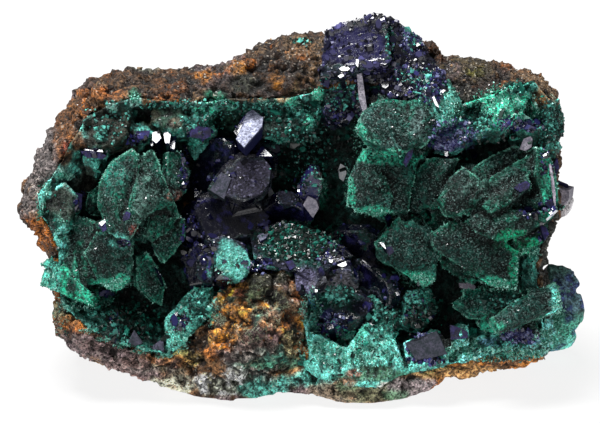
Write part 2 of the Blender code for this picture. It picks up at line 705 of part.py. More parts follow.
TOWER = [
    plate([(328, 32), (352, 24), (375, 16), (386, 18), (390, 40), (392, 60), (388, 68),
           (344, 78), (322, 82)], -2.4, lean=(0.15, -0.30), thick=3.8),
    plate([(384, 18), (396, 27), (416, 42), (426, 62), (412, 88), (390, 84), (387, 50)],
          -4.4, lean=(-0.55, -0.25), thick=4.2),
    plate([(374, 64), (400, 52), (432, 66), (444, 92), (430, 106), (385, 100)],
          -2.8, lean=(-0.1, -0.5), thick=3.8),
    tablet((362, 72, -4.0), (361, 112, -1.4), 1.5, roll=0, thick=1.5),
    plate([(323, 84), (346, 80), (356, 100), (344, 126), (326, 121)],
          -4.6, lean=(-0.3, -0.2), thick=4.0),
    tablet((396, 92, -8.0), (440, 76, -3.6), 5.0, roll=-30, thick=2.8),
    tablet((404, 64, -9.5), (410, 37, -6.5), 4.4, roll=40, thick=3.4),
    lump(372, 74, -6.4, (7.4, 5.4, 4.2), seed=11),
]
REAR_LOBE = [
    plate([(548, 268), (564, 271), (574, 276), (580, 290), (570, 304), (548, 302)],
          -16.4, lean=(-0.3, -0.3), thick=4.6, crown=0.8),
    plate([(560, 292), (581, 293), (585, 311), (582, 322), (575, 330), (558, 325)],
          -17.0, lean=(-0.3, 0.1), thick=5.0, crown=0.8),
    plate([(548, 318), (574, 318), (577, 334), (574, 343), (562, 349), (548, 348)],
          -17.6, lean=(-0.2, 0.3), thick=5.0, crown=0.8),
    lump(560, 310, -18.5, (3.6, 5.6, 4.6), seed=12),
]
SIDE_CRYSTAL = [
    tablet((548, 206, -13.6), (573, 197, -12.4), 4.4, roll=10, thick=3.2),
    tablet((550, 198, -15.4), (566, 188, -13.8), 3.2, roll=40, thick=2.4),
]
# small crystals that grew on the lining
SMALL_CRYSTALS = [
    plate([(340, 388), (346, 352), (366, 322), (377, 333), (390, 316), (403, 372), (380, 388)],
          -0.6, lean=(0.0, -0.3), thick=3.0),
    plate([(299, 366), (302, 332), (322, 338), (346, 350), (350, 386), (322, 384)],
          -0.6, lean=(0.0, -0.2), thick=2.8),
    plate([(404, 346), (438, 332), (453, 350), (444, 366), (410, 374)],
          -0.6, lean=(0.1, -0.4), thick=3.4),
    plate([(449, 340), (457, 323), (468, 326), (470, 344), (454, 350)], -2.2, thick=3.4),
    plate([(186, 300), (200, 288), (214, 292), (206, 318), (188, 347), (168, 352), (166, 325)],
          -2.0, lean=(0.1, -0.5), thick=4.2),
    tablet((332, 348, -7.0), (345, 312, -1.6), 4.4, roll=30, thick=3.0),
    tablet((118, 352, -6.0), (120, 316, -2.0), 3.8, roll=25, thick=2.6),
    tablet((136, 352, -7.5), (144, 322, -3.2), 4.2, roll=-25, thick=2.6),
    plate([(360, 334), (358, 304), (382, 296), (400, 312), (396, 334)],
          -3.2, lean=(0.2, -0.4), thick=3.4, crown=0.6),
    plate([(398, 326), (405, 294), (428, 290), (437, 312), (422, 332)],
          -3.6, lean=(-0.3, -0.3), thick=3.4, crown=0.6),
    tablet((96, 172, -5.0), (94, 147, -1.0), 4.4, roll=64, thick=2.0),
    tablet((140, 156, -7.5), (142, 129, -2.2), 4.4, roll=30, thick=2.6),
    tablet((202, 154, -8.0), (202, 126, -3.0), 4.2, roll=24, thick=2.6),
    tablet((531, 154, -7.0), (524, 122, -1.8), 4.6, roll=-36, thick=2.8),
    plate([(44, 228), (50, 198), (66, 184), (80, 198), (72, 226), (56, 242)],
          -2.2, lean=(0.3, -0.2), thick=3.6),
    plate([(80, 150), (88, 122), (112, 104), (134, 110), (128, 140), (104, 154)],
          -2.8, lean=(0.2, -0.5), thick=3.8, crown=0.6),
    plate([(476, 136), (482, 108), (508, 88), (530, 94), (522, 118), (500, 138)],
          -2.2, lean=(-0.1, -0.5), thick=3.8, crown=0.6),
    plate([(430, 132), (444, 117), (475, 118), (476, 139), (450, 153), (433, 148)],
          -2.4, lean=(0.0, -0.5), thick=3.4),
    plate([(244, 132), (256, 106), (300, 98), (324, 112), (312, 136), (270, 142)],
          -5.6, lean=(0.0, -0.6), thick=4.2),
    plate([(150, 126), (156, 103), (190, 99), (214, 112), (204, 132), (170, 138)],
          -4.6, lean=(0.0, -0.6), thick=4.0),
]

clear_scene()
PARTS = new_collection(OBJECT_NAME)

# room for the rock with its crust, and for the rock alone up to the middle of its crust
rock_seat = new_collection("rock_seat")
crust_top = CRUST_THICKNESS + 2 * SEAT_GAP
as_cutter(mesh_object("rock_and_crust_room", build_seat(0.8 + SEAT_GAP, crust_top), rock_seat))
bare_seat = new_collection("bare_seat")
as_cutter(mesh_object("rock_room", build_seat(0.55, 1.2), bare_seat))

rock_masses = new_collection("rock_masses")
for number, build in enumerate(BOSS + BACK_MASSES):
    as_cutter(mesh_object(f"rock_mass_{number}", build(0.0), rock_masses))
rock = build_rock()
add_boolean(rock, "UNION", rock_masses)
settle(rock)
keep_largest_body(rock.data)
remove_all(rock_masses)
boss_room = grown_set("boss_room", BOSS)

tower_room = grown_set("tower_room", TOWER)
rosette_room = grown_set("rosette_room", ROSETTE)
right_room = grown_set("right_room", RIGHT_FANS)
centre_room = grown_set("centre_room", CENTRE_FANS)
lower_room = grown_set("lower_room", LOWER_BLADES)
azurite_room = grown_set("azurite_room", AZURITE)
rear_room = grown_set("rear_room", REAR_LOBE)
side_room = grown_set("side_room", SIDE_CRYSTAL)

cluster("azurite_tower", TOWER, [rock_seat])
cluster("malachite_rosette", ROSETTE, [rock_seat, boss_room])
cluster("malachite_right_fans", RIGHT_FANS, [rock_seat])
cluster("malachite_centre_fans", CENTRE_FANS, [rock_seat, tower_room, right_room])
cluster("malachite_lower_blades", LOWER_BLADES, [rock_seat, right_room])
azurite_seats = [rock_seat, boss_room, rosette_room, centre_room, lower_room, tower_room]
cluster("azurite_cluster", AZURITE, azurite_seats)
cluster("rear_lobe", REAR_LOBE, [rock_seat, lower_room])
cluster("azurite_side_crystal", SIDE_CRYSTAL, [rock_seat, right_room])

# the small crystals are cut clear of the large ones, then grow out of the lining
crust = mesh_object("pocket_crust", build_lining(), PARTS)
add_boolean(crust, "DIFFERENCE", boss_room)
settle(crust)
rooms = [tower_room, rosette_room, right_room, centre_room, lower_room, azurite_room]
rooms += [rear_room, side_room, boss_room]
small = new_collection("small_crystals")
sprinkle = join_crystals("small_crystal_set", SMALL_CRYSTALS, small)
as_cutter(sprinkle)
for seat in [bare_seat] + rooms:
    add_boolean(sprinkle, "DIFFERENCE", seat)
    settle(sprinkle)
add_boolean(crust, "UNION", small)
settle(crust)
keep_largest_body(crust.data)
remove_all(small)

for used in [rock_seat, bare_seat] + rooms:
    remove_all(used)

COATS = {
    "matrix": "limonite_rock",
    "pocket_crust": "malachite_lining",
    "azurite_cluster": "azurite",
    "malachite_rosette": "malachite_velvet",
    "malachite_centre_fans": "malachite_velvet",
    "malachite_right_fans": "malachite_velvet",
    "malachite_lower_blades": "malachite_bright",
    "azurite_tower": "azurite",
    "azurite_side_crystal": "azurite",
    "rear_lobe": "azurite_malachite_mix",
}
for name, coat in COATS.items():
    data = bpy.data.objects[name].data
    data.materials.clear()
    data.materials.append(make_material(coat) if coat not in bpy.data.materials else bpy.data.materials[coat])
    for face in data.polygons:
        face.use_smooth = False
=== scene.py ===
import math

import bmesh
import bpy
import numpy as np
from mathutils import Matrix, Vector
from mathutils.bvhtree import BVHTree
from mathutils.kdtree import KDTree


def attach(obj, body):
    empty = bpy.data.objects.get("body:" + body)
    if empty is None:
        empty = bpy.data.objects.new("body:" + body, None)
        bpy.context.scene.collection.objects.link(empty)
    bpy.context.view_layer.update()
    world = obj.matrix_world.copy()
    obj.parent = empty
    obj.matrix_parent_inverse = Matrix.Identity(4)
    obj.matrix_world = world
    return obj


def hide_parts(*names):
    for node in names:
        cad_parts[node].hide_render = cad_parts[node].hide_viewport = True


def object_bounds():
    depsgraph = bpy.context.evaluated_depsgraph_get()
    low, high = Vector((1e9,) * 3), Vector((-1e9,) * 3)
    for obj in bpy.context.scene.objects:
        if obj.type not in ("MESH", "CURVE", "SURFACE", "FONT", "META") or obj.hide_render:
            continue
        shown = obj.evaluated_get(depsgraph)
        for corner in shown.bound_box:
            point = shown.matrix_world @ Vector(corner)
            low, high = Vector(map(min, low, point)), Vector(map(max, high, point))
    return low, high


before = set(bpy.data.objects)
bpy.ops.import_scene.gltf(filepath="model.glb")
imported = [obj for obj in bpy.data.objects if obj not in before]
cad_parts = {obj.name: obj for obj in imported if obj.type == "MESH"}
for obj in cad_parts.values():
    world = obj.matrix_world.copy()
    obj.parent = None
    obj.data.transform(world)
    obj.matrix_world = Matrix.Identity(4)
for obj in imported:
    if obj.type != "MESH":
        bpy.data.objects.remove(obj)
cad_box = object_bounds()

# The photograph's frame, laid on the object's face plane: 0.15 mm a pixel.
MM = 0.001
GRID_STEP = 0.15
GRID_MIDDLE = (300, 210)
FACE_TILT = math.radians(20)
FACE_ORIGIN = np.array((-0.29, -14.95, 27.5))
FACE_UP = np.array((0.0, math.sin(FACE_TILT), math.cos(FACE_TILT)))
FACE_OUT = np.array((0.0, -math.cos(FACE_TILT), math.sin(FACE_TILT)))

CAMERA_DISTANCE = 1.2
FRAME_WIDTH = 0.0901
FRAME_CENTRE = (300, 211.5)
SENSOR = 36.0
LAMP = (-0.14, 0.10, 0.62)
LAMP_POWER = 9.6
FILL_POWER = 2.5
SURROUND_LIGHT = 0.12
FLOOR_GLOW = 0.86

# Sizes in millimetres
ROCK_VOXEL = 0.45
CRUST_VOXEL = 0.36
FAN_VOXEL = 0.23
LOBE_VOXEL = 0.30
WELD = 0.002
CRYSTAL_BEVEL = 0.07
LONGEST_EDGE = 1.0

LIGHT_GAIN = 0.9
BRIGHTEST = 0.95


def tone(red, green, blue):
    """A colour as read from a print, 0 to 255, made into surface reflectance."""
    return np.array([(c / 255.0) ** 2.2 * LIGHT_GAIN for c in (red, green, blue)]).clip(0, BRIGHTEST)


DARK_BROWN = tone(58, 42, 32)
BROWN = tone(100, 72, 48)
TAN = tone(140, 112, 82)
ORANGE = tone(165, 95, 32)
HONEY = tone(188, 122, 44)
RUST = tone(120, 48, 26)
GREY_PURPLE = tone(108, 94, 96)
PALE_ROCK = tone(178, 164, 142)
CREAM = tone(220, 212, 196)
BLACK_GREEN = tone(9, 20, 18)
DEEP_GREEN = tone(18, 52, 47)
GREEN = tone(32, 92, 80)
BRIGHT_GREEN = tone(46, 146, 118)
TURQUOISE = tone(84, 162, 150)
PALE_GREEN = tone(160, 214, 202)
VEIN_GREEN = tone(160, 180, 120)
NAVY = tone(10, 11, 26)
BLUE = tone(48, 46, 96)
SLATE = tone(92, 118, 132)


def on_face(x, y, out):
    """The point in metres that lies at pixel x, y and this many millimetres out of the face plane."""
    spot = FACE_ORIGIN + (GRID_MIDDLE[1] - y) * GRID_STEP * FACE_UP + out * FACE_OUT
    spot[0] += (x - GRID_MIDDLE[0]) * GRID_STEP
    return Vector(spot) * MM


def face_of(points):
    """Pixel x, pixel y and millimetres out of the face plane for points in millimetres."""
    moved = points - FACE_ORIGIN
    up = moved @ FACE_UP
    return moved[:, 0] / GRID_STEP + GRID_MIDDLE[0], GRID_MIDDLE[1] - up / GRID_STEP, moved @ FACE_OUT


# Noise that repeats for a given seed

def hashed(cells, seed):
    """A repeatable number from 0 to 1 for each whole-number cell."""
    cells = cells.astype(np.int64).astype(np.uint64)
    mix = cells[:, 0] * np.uint64(73856093)
    mix ^= cells[:, 1] * np.uint64(19349663)
    mix ^= cells[:, 2] * np.uint64(83492791)
    mix ^= np.uint64(seed * 2654435761 % 4294967296)
    mix = (mix ^ (mix >> np.uint64(15))) * np.uint64(2246822519) & np.uint64(0xFFFFFFFF)
    mix = (mix ^ (mix >> np.uint64(13))) * np.uint64(3266489917) & np.uint64(0xFFFFFFFF)
    mix ^= mix >> np.uint64(16)
    return (mix & np.uint64(0xFFFFFF)).astype(float) / 16777216.0


def soft_noise(points, size, seed):
    """Smooth noise from -1 to 1 with features of this size in millimetres."""
    scaled = points / size + seed * 3.17
    cell = np.floor(scaled)
    part = scaled - cell
    part = part * part * part * (part * (part * 6 - 15) + 10)
    total = np.zeros(len(points))
    for corner in range(8):
        step = np.array([corner & 1, corner >> 1 & 1, corner >> 2 & 1])
        weight = np.prod(np.where(step == 1, part, 1 - part), axis=1)
        total += weight * hashed(cell + step, seed)
    return total * 2 - 1


TURN = np.array(Matrix.Rotation(1.1, 3, Vector((0.5, 0.7, 0.3))))


def fractal(points, size, octaves, seed, fall=0.5):
    """Noise of several sizes, each half the last and turned against it."""
    total = np.zeros(len(points))
    weight = 1.0
    whole = 0.0
    for i in range(octaves):
        total += weight * soft_noise(points, size, seed + i)
        whole += weight
        weight *= fall
        size *= 0.5
        points = points @ TURN
    return total / whole


def knobs(points, size, seed):
    """Distance to the nearest scattered centre, in cells, and that centre's own random number."""
    scaled = points / size
    cell = np.floor(scaled)
    best = np.full(len(points), 9.0)
    own = np.zeros(len(points))
    for i in range(27):
        near = cell + np.array([i % 3 - 1, i // 3 % 3 - 1, i // 9 - 1])
        centre = near + np.stack([hashed(near, seed + k) for k in range(3)], axis=1)
        far = np.sqrt(((scaled - centre) ** 2).sum(axis=1))
        closer = far < best
        best[closer] = far[closer]
        own[closer] = hashed(near, seed + 5)[closer]
    return best, own


def domes(points, size, seed):
    """Rounded knobs, 1 on top and 0 between them."""
    far, own = knobs(points, size, seed)
    return np.sqrt(np.clip(1 - (far / 0.85) ** 2, 0, 1)) * (0.6 + 0.4 * own)


def ramp(value, low, high):
    """Rises softly from 0 at low to 1 at high."""
    step = np.clip((value - low) / (high - low), 0, 1)
    return step * step * (3 - 2 * step)


def facing(normal, low, high):
    """0 to 1 as surfaces turn to face out of the face plane."""
    return ramp(normal @ FACE_OUT, low, high)


# Meshes

def numbers(items, key, width, kind=np.float32):
    """What Blender stores under a key, one row for each item."""
    flat = np.zeros(len(items) * width, kind)
    items.foreach_get(key, flat)
    return flat.reshape(-1, width)


def coordinates(data):
    return numbers(data.vertices, "co", 3).astype(float) / MM


def set_coordinates(data, points):
    data.vertices.foreach_set("co", (points * MM).astype(np.float32).ravel())
    data.update()


def normals_of(data):
    return numbers(data.vertex_normals, "vector", 3).astype(float)


def corners_of(data):
    """The corner numbers of each triangle."""
    data.calc_loop_triangles()
    return numbers(data.loop_triangles, "vertices", 3, np.int32)


def make_object(name, data):
    """A new object in the scene, for a mesh, a lamp or a camera."""
    thing = bpy.data.objects.new(name, data)
    bpy.context.scene.collection.objects.link(thing)
    return thing


def build_mesh(name, points, triangles):
    data = bpy.data.meshes.new(name)
    data.vertices.add(len(points))
    data.loops.add(len(triangles) * 3)
    data.polygons.add(len(triangles))
    data.vertices.foreach_set("co", (points * MM).astype(np.float32).ravel())
    data.loops.foreach_set("vertex_index", triangles.astype(np.int32).ravel())
    data.polygons.foreach_set("loop_start", np.arange(0, len(triangles) * 3, 3, dtype=np.int32))
    data.update(calc_edges=True)
    return data


def plain_copy(node):
    """A node's mesh with its split corners welded."""
    work = bmesh.new()
    work.from_mesh(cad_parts[node].data)
    bmesh.ops.remove_doubles(work, verts=work.verts, dist=WELD * MM)
    bmesh.ops.recalc_face_normals(work, faces=work.faces)
    points = [v.co.copy() for v in work.verts]
    work.verts.index_update()
    faces = [[v.index for v in f.verts] for f in work.faces]
    work.free()
    data = bpy.data.meshes.new(node + "_copy")
    data.from_pydata(points, [], faces)
    return data


def evaluated(thing):
    """The mesh of an object with its modifiers applied, and the object removed."""
    graph = bpy.context.evaluated_depsgraph_get()
    data = bpy.data.meshes.new_from_object(thing.evaluated_get(graph))
    old = thing.data
    bpy.data.objects.remove(thing)
    bpy.data.meshes.remove(old)
    return data


def remeshed(data, voxel):
    """A mesh rebuilt from small even faces, ready for relief."""
    thing = make_object(data.name + "_work", data)
    even = thing.modifiers.new("even", "REMESH")
    even.mode = "VOXEL"
    even.voxel_size = voxel * MM
    even.use_smooth_shade = True
    return evaluated(thing)


def thinned(data, keep, loose):
    """A mesh with this share of its faces kept, thinned mostly where the loose weight is high."""
    thing = make_object(data.name + "_thin", data)
    group = thing.vertex_groups.new(name="loose")
    step = np.clip(np.round(loose * 5) / 5, 0, 1)
    for level in (0.2, 0.4, 0.6, 0.8, 1.0):
        group.add(np.nonzero(np.isclose(step, level))[0].tolist(), level, "REPLACE")
    fewer = thing.modifiers.new("fewer", "DECIMATE")
    fewer.ratio = keep
    fewer.vertex_group = "loose"
    fewer.vertex_group_factor = 1.0
    return evaluated(thing)


def fine_copy(node, voxel):
    return remeshed(plain_copy(node), voxel)


def raised(data, points, normal, height):
    """Moves points along their normals by a height in millimetres, but none below the ground."""
    points = points + normal * height[:, None]
    points[:, 2] = np.maximum(points[:, 2], 0.0)
    set_coordinates(data, points)
    return points


def edge_points(node, angle):
    """Points along the outer sharp edges of a node, in metres."""
    work = bmesh.new()
    work.from_mesh(plain_copy(node))
    found = []
    for edge in work.edges:
        if len(edge.link_faces) != 2 or edge.calc_face_angle_signed() < math.radians(angle):
            continue
        first, second = (corner.co for corner in edge.verts)
        steps = max(2, int((second - first).length / (0.2 * MM)))
        found += [first.lerp(second, i / steps) for i in range(steps + 1)]
    work.free()
    return found


def edge_distance(points, spots):
    """How far each point is from the nearest of the spots, in millimetres."""
    tree = KDTree(len(spots))
    for i, spot in enumerate(spots):
        tree.insert(spot, i)
    tree.balance()
    return np.array([tree.find(p)[2] for p in points * MM]) / MM


def standing_out(data, points, normal, rounds):
    """How far each point stands out of its surroundings, in millimetres; below 0 in a hollow."""
    first, second = numbers(data.edges, "vertices", 2, np.int32).T
    size = len(points)
    count = np.bincount(first, minlength=size) + np.bincount(second, minlength=size)
    smooth = points.copy()
    for _ in range(rounds):
        sums = [np.bincount(first, smooth[second, k], size) + np.bincount(second, smooth[first, k], size)
                for k in range(3)]
        smooth = np.stack(sums, axis=1) / count[:, None]
    return ((points - smooth) * normal).sum(axis=1)


def painted_shade_and_edge_light(colours, data, points, deep=1.0):
    """Paints shade into the hollows of a surface and a highlight onto its edges."""
    normal = normals_of(data)
    near = standing_out(data, points, normal, 4)
    wide = standing_out(data, points, normal, 40)
    factor = 1 + deep * (4.0 * near + 1.6 * wide)
    return np.clip(colours * np.clip(factor, 0.12, 1.9)[:, None], 0, BRIGHTEST)


def add_values(data, name, values):
    """Stores a number on each point, for a material to read."""
    layer = data.attributes.get(name) or data.attributes.new(name, "FLOAT", "POINT")
    layer.data.foreach_set("value", values.astype(np.float32))


def values_of(data, name):
    return numbers(data.attributes[name].data, "value", 1)[:, 0]


def add_colours(data, colours):
    full = np.ones((len(colours), 4), np.float32)
    full[:, :3] = colours
    layer = data.attributes.new("tint", "FLOAT_COLOR", "POINT")
    layer.data.foreach_set("color", full.ravel())


def all_over(colour, points):
    return np.tile(colour, (len(points), 1))


def blended(first, second, weight):
    return first + (second - first) * weight[:, None]


def mottled(colours, points, colour, size, octaves, seed, low, high, share=1.0, extra=0.0):
    """Blends in a colour where noise of this size rises from low to high."""
    return blended(colours, colour, ramp(fractal(points, size, octaves, seed) + extra, low, high) * share)


def oval(x, y, middle_x, middle_y, wide, high):
    """How far out in an oval patch a point lies: 0 in the middle, 1 on the edge."""
    return np.sqrt(((x - middle_x) / wide) ** 2 + ((y - middle_y) / high) ** 2)


def dab(colours, points, spots, seed):
    """Blends soft patches into colours. A patch is x, y, half width, half height, colour and strength."""
    x, y, out = face_of(points)
    wobble = fractal(points, 3.0, 3, seed) * 0.9
    for *patch, colour, strength in spots:
        colour = tone(*colour) if isinstance(colour, tuple) else colour
        colours = blended(colours, colour, (1 - ramp(oval(x, y, *patch) + wobble, 0.75, 1.15)) * strength)
    return colours


# Scattered small crystals

def surface_places(data, count, seed, weigh=None):
    """Random places on a mesh: points in millimetres and the surface normals there."""
    corners = corners_of(data)
    points = coordinates(data)
    a, b, c = (points[corners[:, k]] for k in range(3))
    cross = np.cross(b - a, c - a)
    size = np.linalg.norm(cross, axis=1)
    normal = cross / np.maximum(size, 1e-12)[:, None]
    weight = size.copy()
    if weigh is not None:
        weight *= weigh((a + b + c) / 3, normal)
    draw = np.random.default_rng(seed)
    total = np.cumsum(weight)
    picked = np.searchsorted(total, draw.random(count) * total[-1])
    picked = np.minimum(picked, len(total) - 1)
    u = draw.random((count, 2))
    over = u.sum(axis=1) > 1
    u[over] = 1 - u[over]
    a, b, c = a[picked], b[picked], c[picked]
    places = a + (b - a) * u[:, :1] + (c - a) * u[:, 1:]
    return places, normal[picked]


def unit(rows):
    return rows / np.linalg.norm(rows, axis=1)[:, None]


def frames_along(directions, draw):
    """For each direction, three square axes with the last along it and a random turn about it."""
    directions = unit(directions)
    side = unit(np.cross(directions, draw.normal(size=directions.shape)))
    return np.stack([side, np.cross(directions, side), directions], axis=1)


def placed(corners, places, axes, sizes):
    """A form's corners at each place, with its own axes and size."""
    return np.einsum("nij,njk->nik", corners[None, :, :] * sizes[:, None, :], axes) + places[:, None, :]


def swarm(name, form, places, axes, sizes):
    """One mesh of many copies of a small form, each with its own place, axes and size."""
    corners, triangles = form
    points = placed(corners, places, axes, sizes)
    faces = triangles[None, :, :] + (np.arange(len(places)) * len(corners))[:, None, None]
    return build_mesh(name, points.reshape(-1, 3), faces.reshape(-1, 3))


def prism_triangles(n):
    """The faces of a closed prism whose first n corners are one end and the next n the other."""
    triangles = [(0, i + 1, i) for i in range(1, n - 1)]
    triangles += [(n, n + i, n + i + 1) for i in range(1, n - 1)]
    for i in range(n):
        j = (i + 1) % n
        triangles += [(i, j, n + j), (i, n + j, n + i)]
    return triangles


def prism_form(outline, shrink):
    """A closed prism over an outline, with a smaller top."""
    low = [(x, y, -0.5) for x, y in outline]
    high = [(x * shrink, y * shrink, 0.5) for x, y in outline]
    return np.array(low + high, float), np.array(prism_triangles(len(outline)))


def form_of(corners, triangles):
    return np.array(corners, float), np.array(triangles)


SPIKE = form_of([(1, 0, -0.3), (-0.5, 0.87, -0.3), (-0.5, -0.87, -0.3), (0.15, 0.1, 1.0)],
                [(0, 2, 1), (0, 1, 3), (1, 2, 3), (2, 0, 3)])
CHIP = prism_form([(1, -0.2), (0.1, 0.9), (-0.9, 0.3), (-0.3, -0.9)], 0.8)
BLADE = prism_form([(1, 0), (0.35, 0.9), (-0.6, 0.75), (-1, -0.1), (-0.4, -0.85), (0.6, -0.7)], 0.86)
# A slim tablet standing on its end, with a wedge top
CHISEL = form_of(
    [(-1, -1, -0.4), (1, -1, -0.4), (1, 1, -0.4), (-1, 1, -0.4), (-1, -1, 0.72),
     (1, -1, 0.6), (1, 1, 0.6), (-1, 1, 0.72), (-0.55, -0.2, 1.0), (0.45, 0.1, 0.93)],
    [(0, 2, 1), (0, 3, 2), (0, 1, 5), (0, 5, 4), (1, 2, 6), (1, 6, 5), (2, 3, 7), (2, 7, 6),
     (3, 0, 4), (3, 4, 7), (4, 5, 9), (4, 9, 8), (5, 6, 9), (6, 7, 8), (6, 8, 9), (7, 4, 8)])
PEBBLE = form_of(
    [(1, 0.1, 0), (-0.9, 0, 0.2), (0, 1, -0.1), (0.1, -0.9, 0.15), (0.1, 0, 1), (0, 0.1, -0.8)],
    [(0, 2, 4), (2, 1, 4), (1, 3, 4), (3, 0, 4), (2, 0, 5), (1, 2, 5), (3, 1, 5), (0, 3, 5)])
LEAF = form_of(
    [(1, 0, 0), (0.35, 0.6, 0), (-0.3, 0.75, 0), (-1, 0, 0), (-0.3, -0.75, 0), (0.35, -0.6, 0),
     (0.5, 0, 1), (-0.5, 0, 1), (0.5, 0, -0.7), (-0.5, 0, -0.7)],
    [(0, 1, 6), (1, 2, 7), (1, 7, 6), (2, 3, 7), (3, 4, 7), (4, 5, 6), (4, 6, 7), (5, 0, 6),
     (1, 0, 8), (2, 1, 9), (9, 1, 8), (3, 2, 9), (4, 3, 9), (5, 4, 8), (8, 4, 9), (0, 5, 8)])
LEAF_OUTLINE = LEAF[0][:6]
LEAF_SIZES = ((1.6, 3.4), (1.1, 2.2), (0.26, 0.36))


# Materials

class Recipe:
    """A node material under construction."""

    def __init__(self, name):
        self.material = bpy.data.materials.new(name)
        self.material.use_nodes = True
        self.tree = self.material.node_tree
        self.shader = self.tree.nodes["Principled BSDF"]
        self.place = self.add("TexCoord").outputs["Object"]

    def put(self, socket, value):
        """Joins another socket to this one, or gives it a plain number or colour."""
        if isinstance(value, bpy.types.NodeSocket):
            self.tree.links.new(value, socket)
        elif isinstance(value, (tuple, np.ndarray)):
            socket.default_value = (*value, 1.0)[:len(socket.default_value)]
        else:
            socket.default_value = value

    def add(self, kind, inputs=None, **settings):
        node = self.tree.nodes.new("ShaderNode" + kind)
        for key, value in settings.items():
            setattr(node, key, value)
        for key, value in (inputs or {}).items():
            self.put(node.inputs[key], value)
        return node

    def noise(self, size, detail=2.0, rough=0.6):
        """Noise from 0 to 1 with features of this size in millimetres."""
        inputs = {"Scale": 1.0 / (size * MM), "Detail": detail, "Roughness": rough, "Vector": self.place}
        return self.add("TexNoise", inputs).outputs["Fac"]

    def facets(self, size, slope):
        """Height of small crystal faces, each with its own lean, and a random number for each."""
        cell = self.add("TexVoronoi", {"Scale": 1.0 / (size * MM), "Vector": self.place}).outputs
        lean = self.vectors("SUBTRACT", cell["Color"], (0.5, 0.5, 0.5))[0]
        away = self.vectors("SUBTRACT", self.place, cell["Position"])[0]
        rise = self.vectors("DOT_PRODUCT", lean, away)["Value"]
        return self.times(rise, slope / MM), self.add("SeparateColor", {0: cell["Color"]}).outputs[0]

    def span(self, value, low, high, to_low=0.0, to_high=1.0):
        inputs = {"Value": value, "From Min": low, "From Max": high, "To Min": to_low, "To Max": to_high}
        return self.add("MapRange", inputs).outputs[0]

    def math(self, operation, first, second):
        return self.add("Math", {0: first, 1: second}, operation=operation).outputs[0]

    def vectors(self, operation, first, second):
        return self.add("VectorMath", {0: first, 1: second}, operation=operation).outputs

    def times(self, first, second):
        return self.math("MULTIPLY", first, second)

    def mix(self, weight, first, second, blend="MIX"):
        inputs = {0: weight, 6: first, 7: second}
        return self.add("Mix", inputs, data_type="RGBA", blend_type=blend).outputs[2]

    def read(self, name, output="Fac"):
        return self.add("Attribute", attribute_name=name).outputs[output]

    def tinted(self, shade):
        """The piece's own painted colours, times a shade."""
        return self.mix(1.0, self.read("tint", "Color"), shade, "MULTIPLY")

    def bump(self, height, distance, strength=1.0, under=None):
        inputs = {"Distance": distance * MM, "Strength": strength, "Height": height}
        if under is not None:
            inputs["Normal"] = under
        return self.add("Bump", inputs).outputs[0]

    def finish(self, base, rough, shine, **others):
        settings = {"Base Color": base, "Roughness": rough, "Specular IOR Level": shine, **others}
        for key, value in settings.items():
            self.put(self.shader.inputs[key], value)
        return self.material


def rock_material():
    """Broken rock with painted highlights on scattered grains, dark stains and, on the boss, pale vein
    lines.
    """
    r = Recipe("limonite_rock_surface")
    rise, own = r.facets(0.27, 1.3)
    coarse = r.noise(1.1, 4.0, 0.7)
    shade = r.times(r.span(coarse, 0.36, 0.64, 0.25, 1.65), r.span(own, 0.0, 1.0, 0.15, 1.85))
    # Painted highlight: a few grains painted near white, thicker in patches, as glinting specks.
    sparse = r.span(r.noise(3.0, 2.0, 0.5), 0.45, 0.62, 0.08, 0.75)
    base = r.mix(r.times(r.span(own, 0.91, 0.95), sparse), r.tinted(shade), tone(208, 200, 186))
    dark = r.span(r.noise(0.7, 3.0, 0.7), 0.44, 0.34)
    base = r.mix(r.times(dark, 0.8), base, DARK_BROWN * 0.35)
    line = r.math("ABSOLUTE", r.math("SUBTRACT", r.noise(1.5, 3.0, 0.6), 0.5), 0.0)
    base = r.mix(r.times(r.span(line, 0.006, 0.024, 1.0, 0.0), r.read("vein")), base, tone(190, 204, 168))
    broken = r.bump(r.noise(1.8, 4.0, 0.65), 1.4, 0.9)
    grainy = r.bump(r.noise(0.4, 5.0, 0.8), 0.4, 1.0, broken)
    return r.finish(base, r.span(r.noise(0.42, 2.0, 0.6), 0.3, 0.7, 0.35, 0.85), 0.4,
                    Normal=r.bump(rise, 1.0, 1.0, grainy))


def crust_material():
    """Small malachite crystals, frosted white in places."""
    r = Recipe("malachite_crust_surface")
    fine = r.noise(0.36, 2.0, 0.6)
    coarse = r.noise(1.0, 3.0, 0.65)
    base = r.tinted(r.times(r.span(coarse, 0.36, 0.64, 0.6, 1.4), r.span(fine, 0.36, 0.64, 0.4, 1.9)))
    frost = r.span(r.noise(0.32, 1.0, 0.5), 0.58, 0.66)
    base = r.mix(r.times(frost, r.read("frost")), base, PALE_GREEN)
    grainy = r.bump(r.noise(0.3, 3.0, 0.75), 0.3, 0.9)
    return r.finish(base, r.span(fine, 0.3, 0.7, 0.3, 0.75), 0.3,
                    Normal=r.bump(r.facets(0.24, 1.4)[0], 1.0, 1.0, grainy))


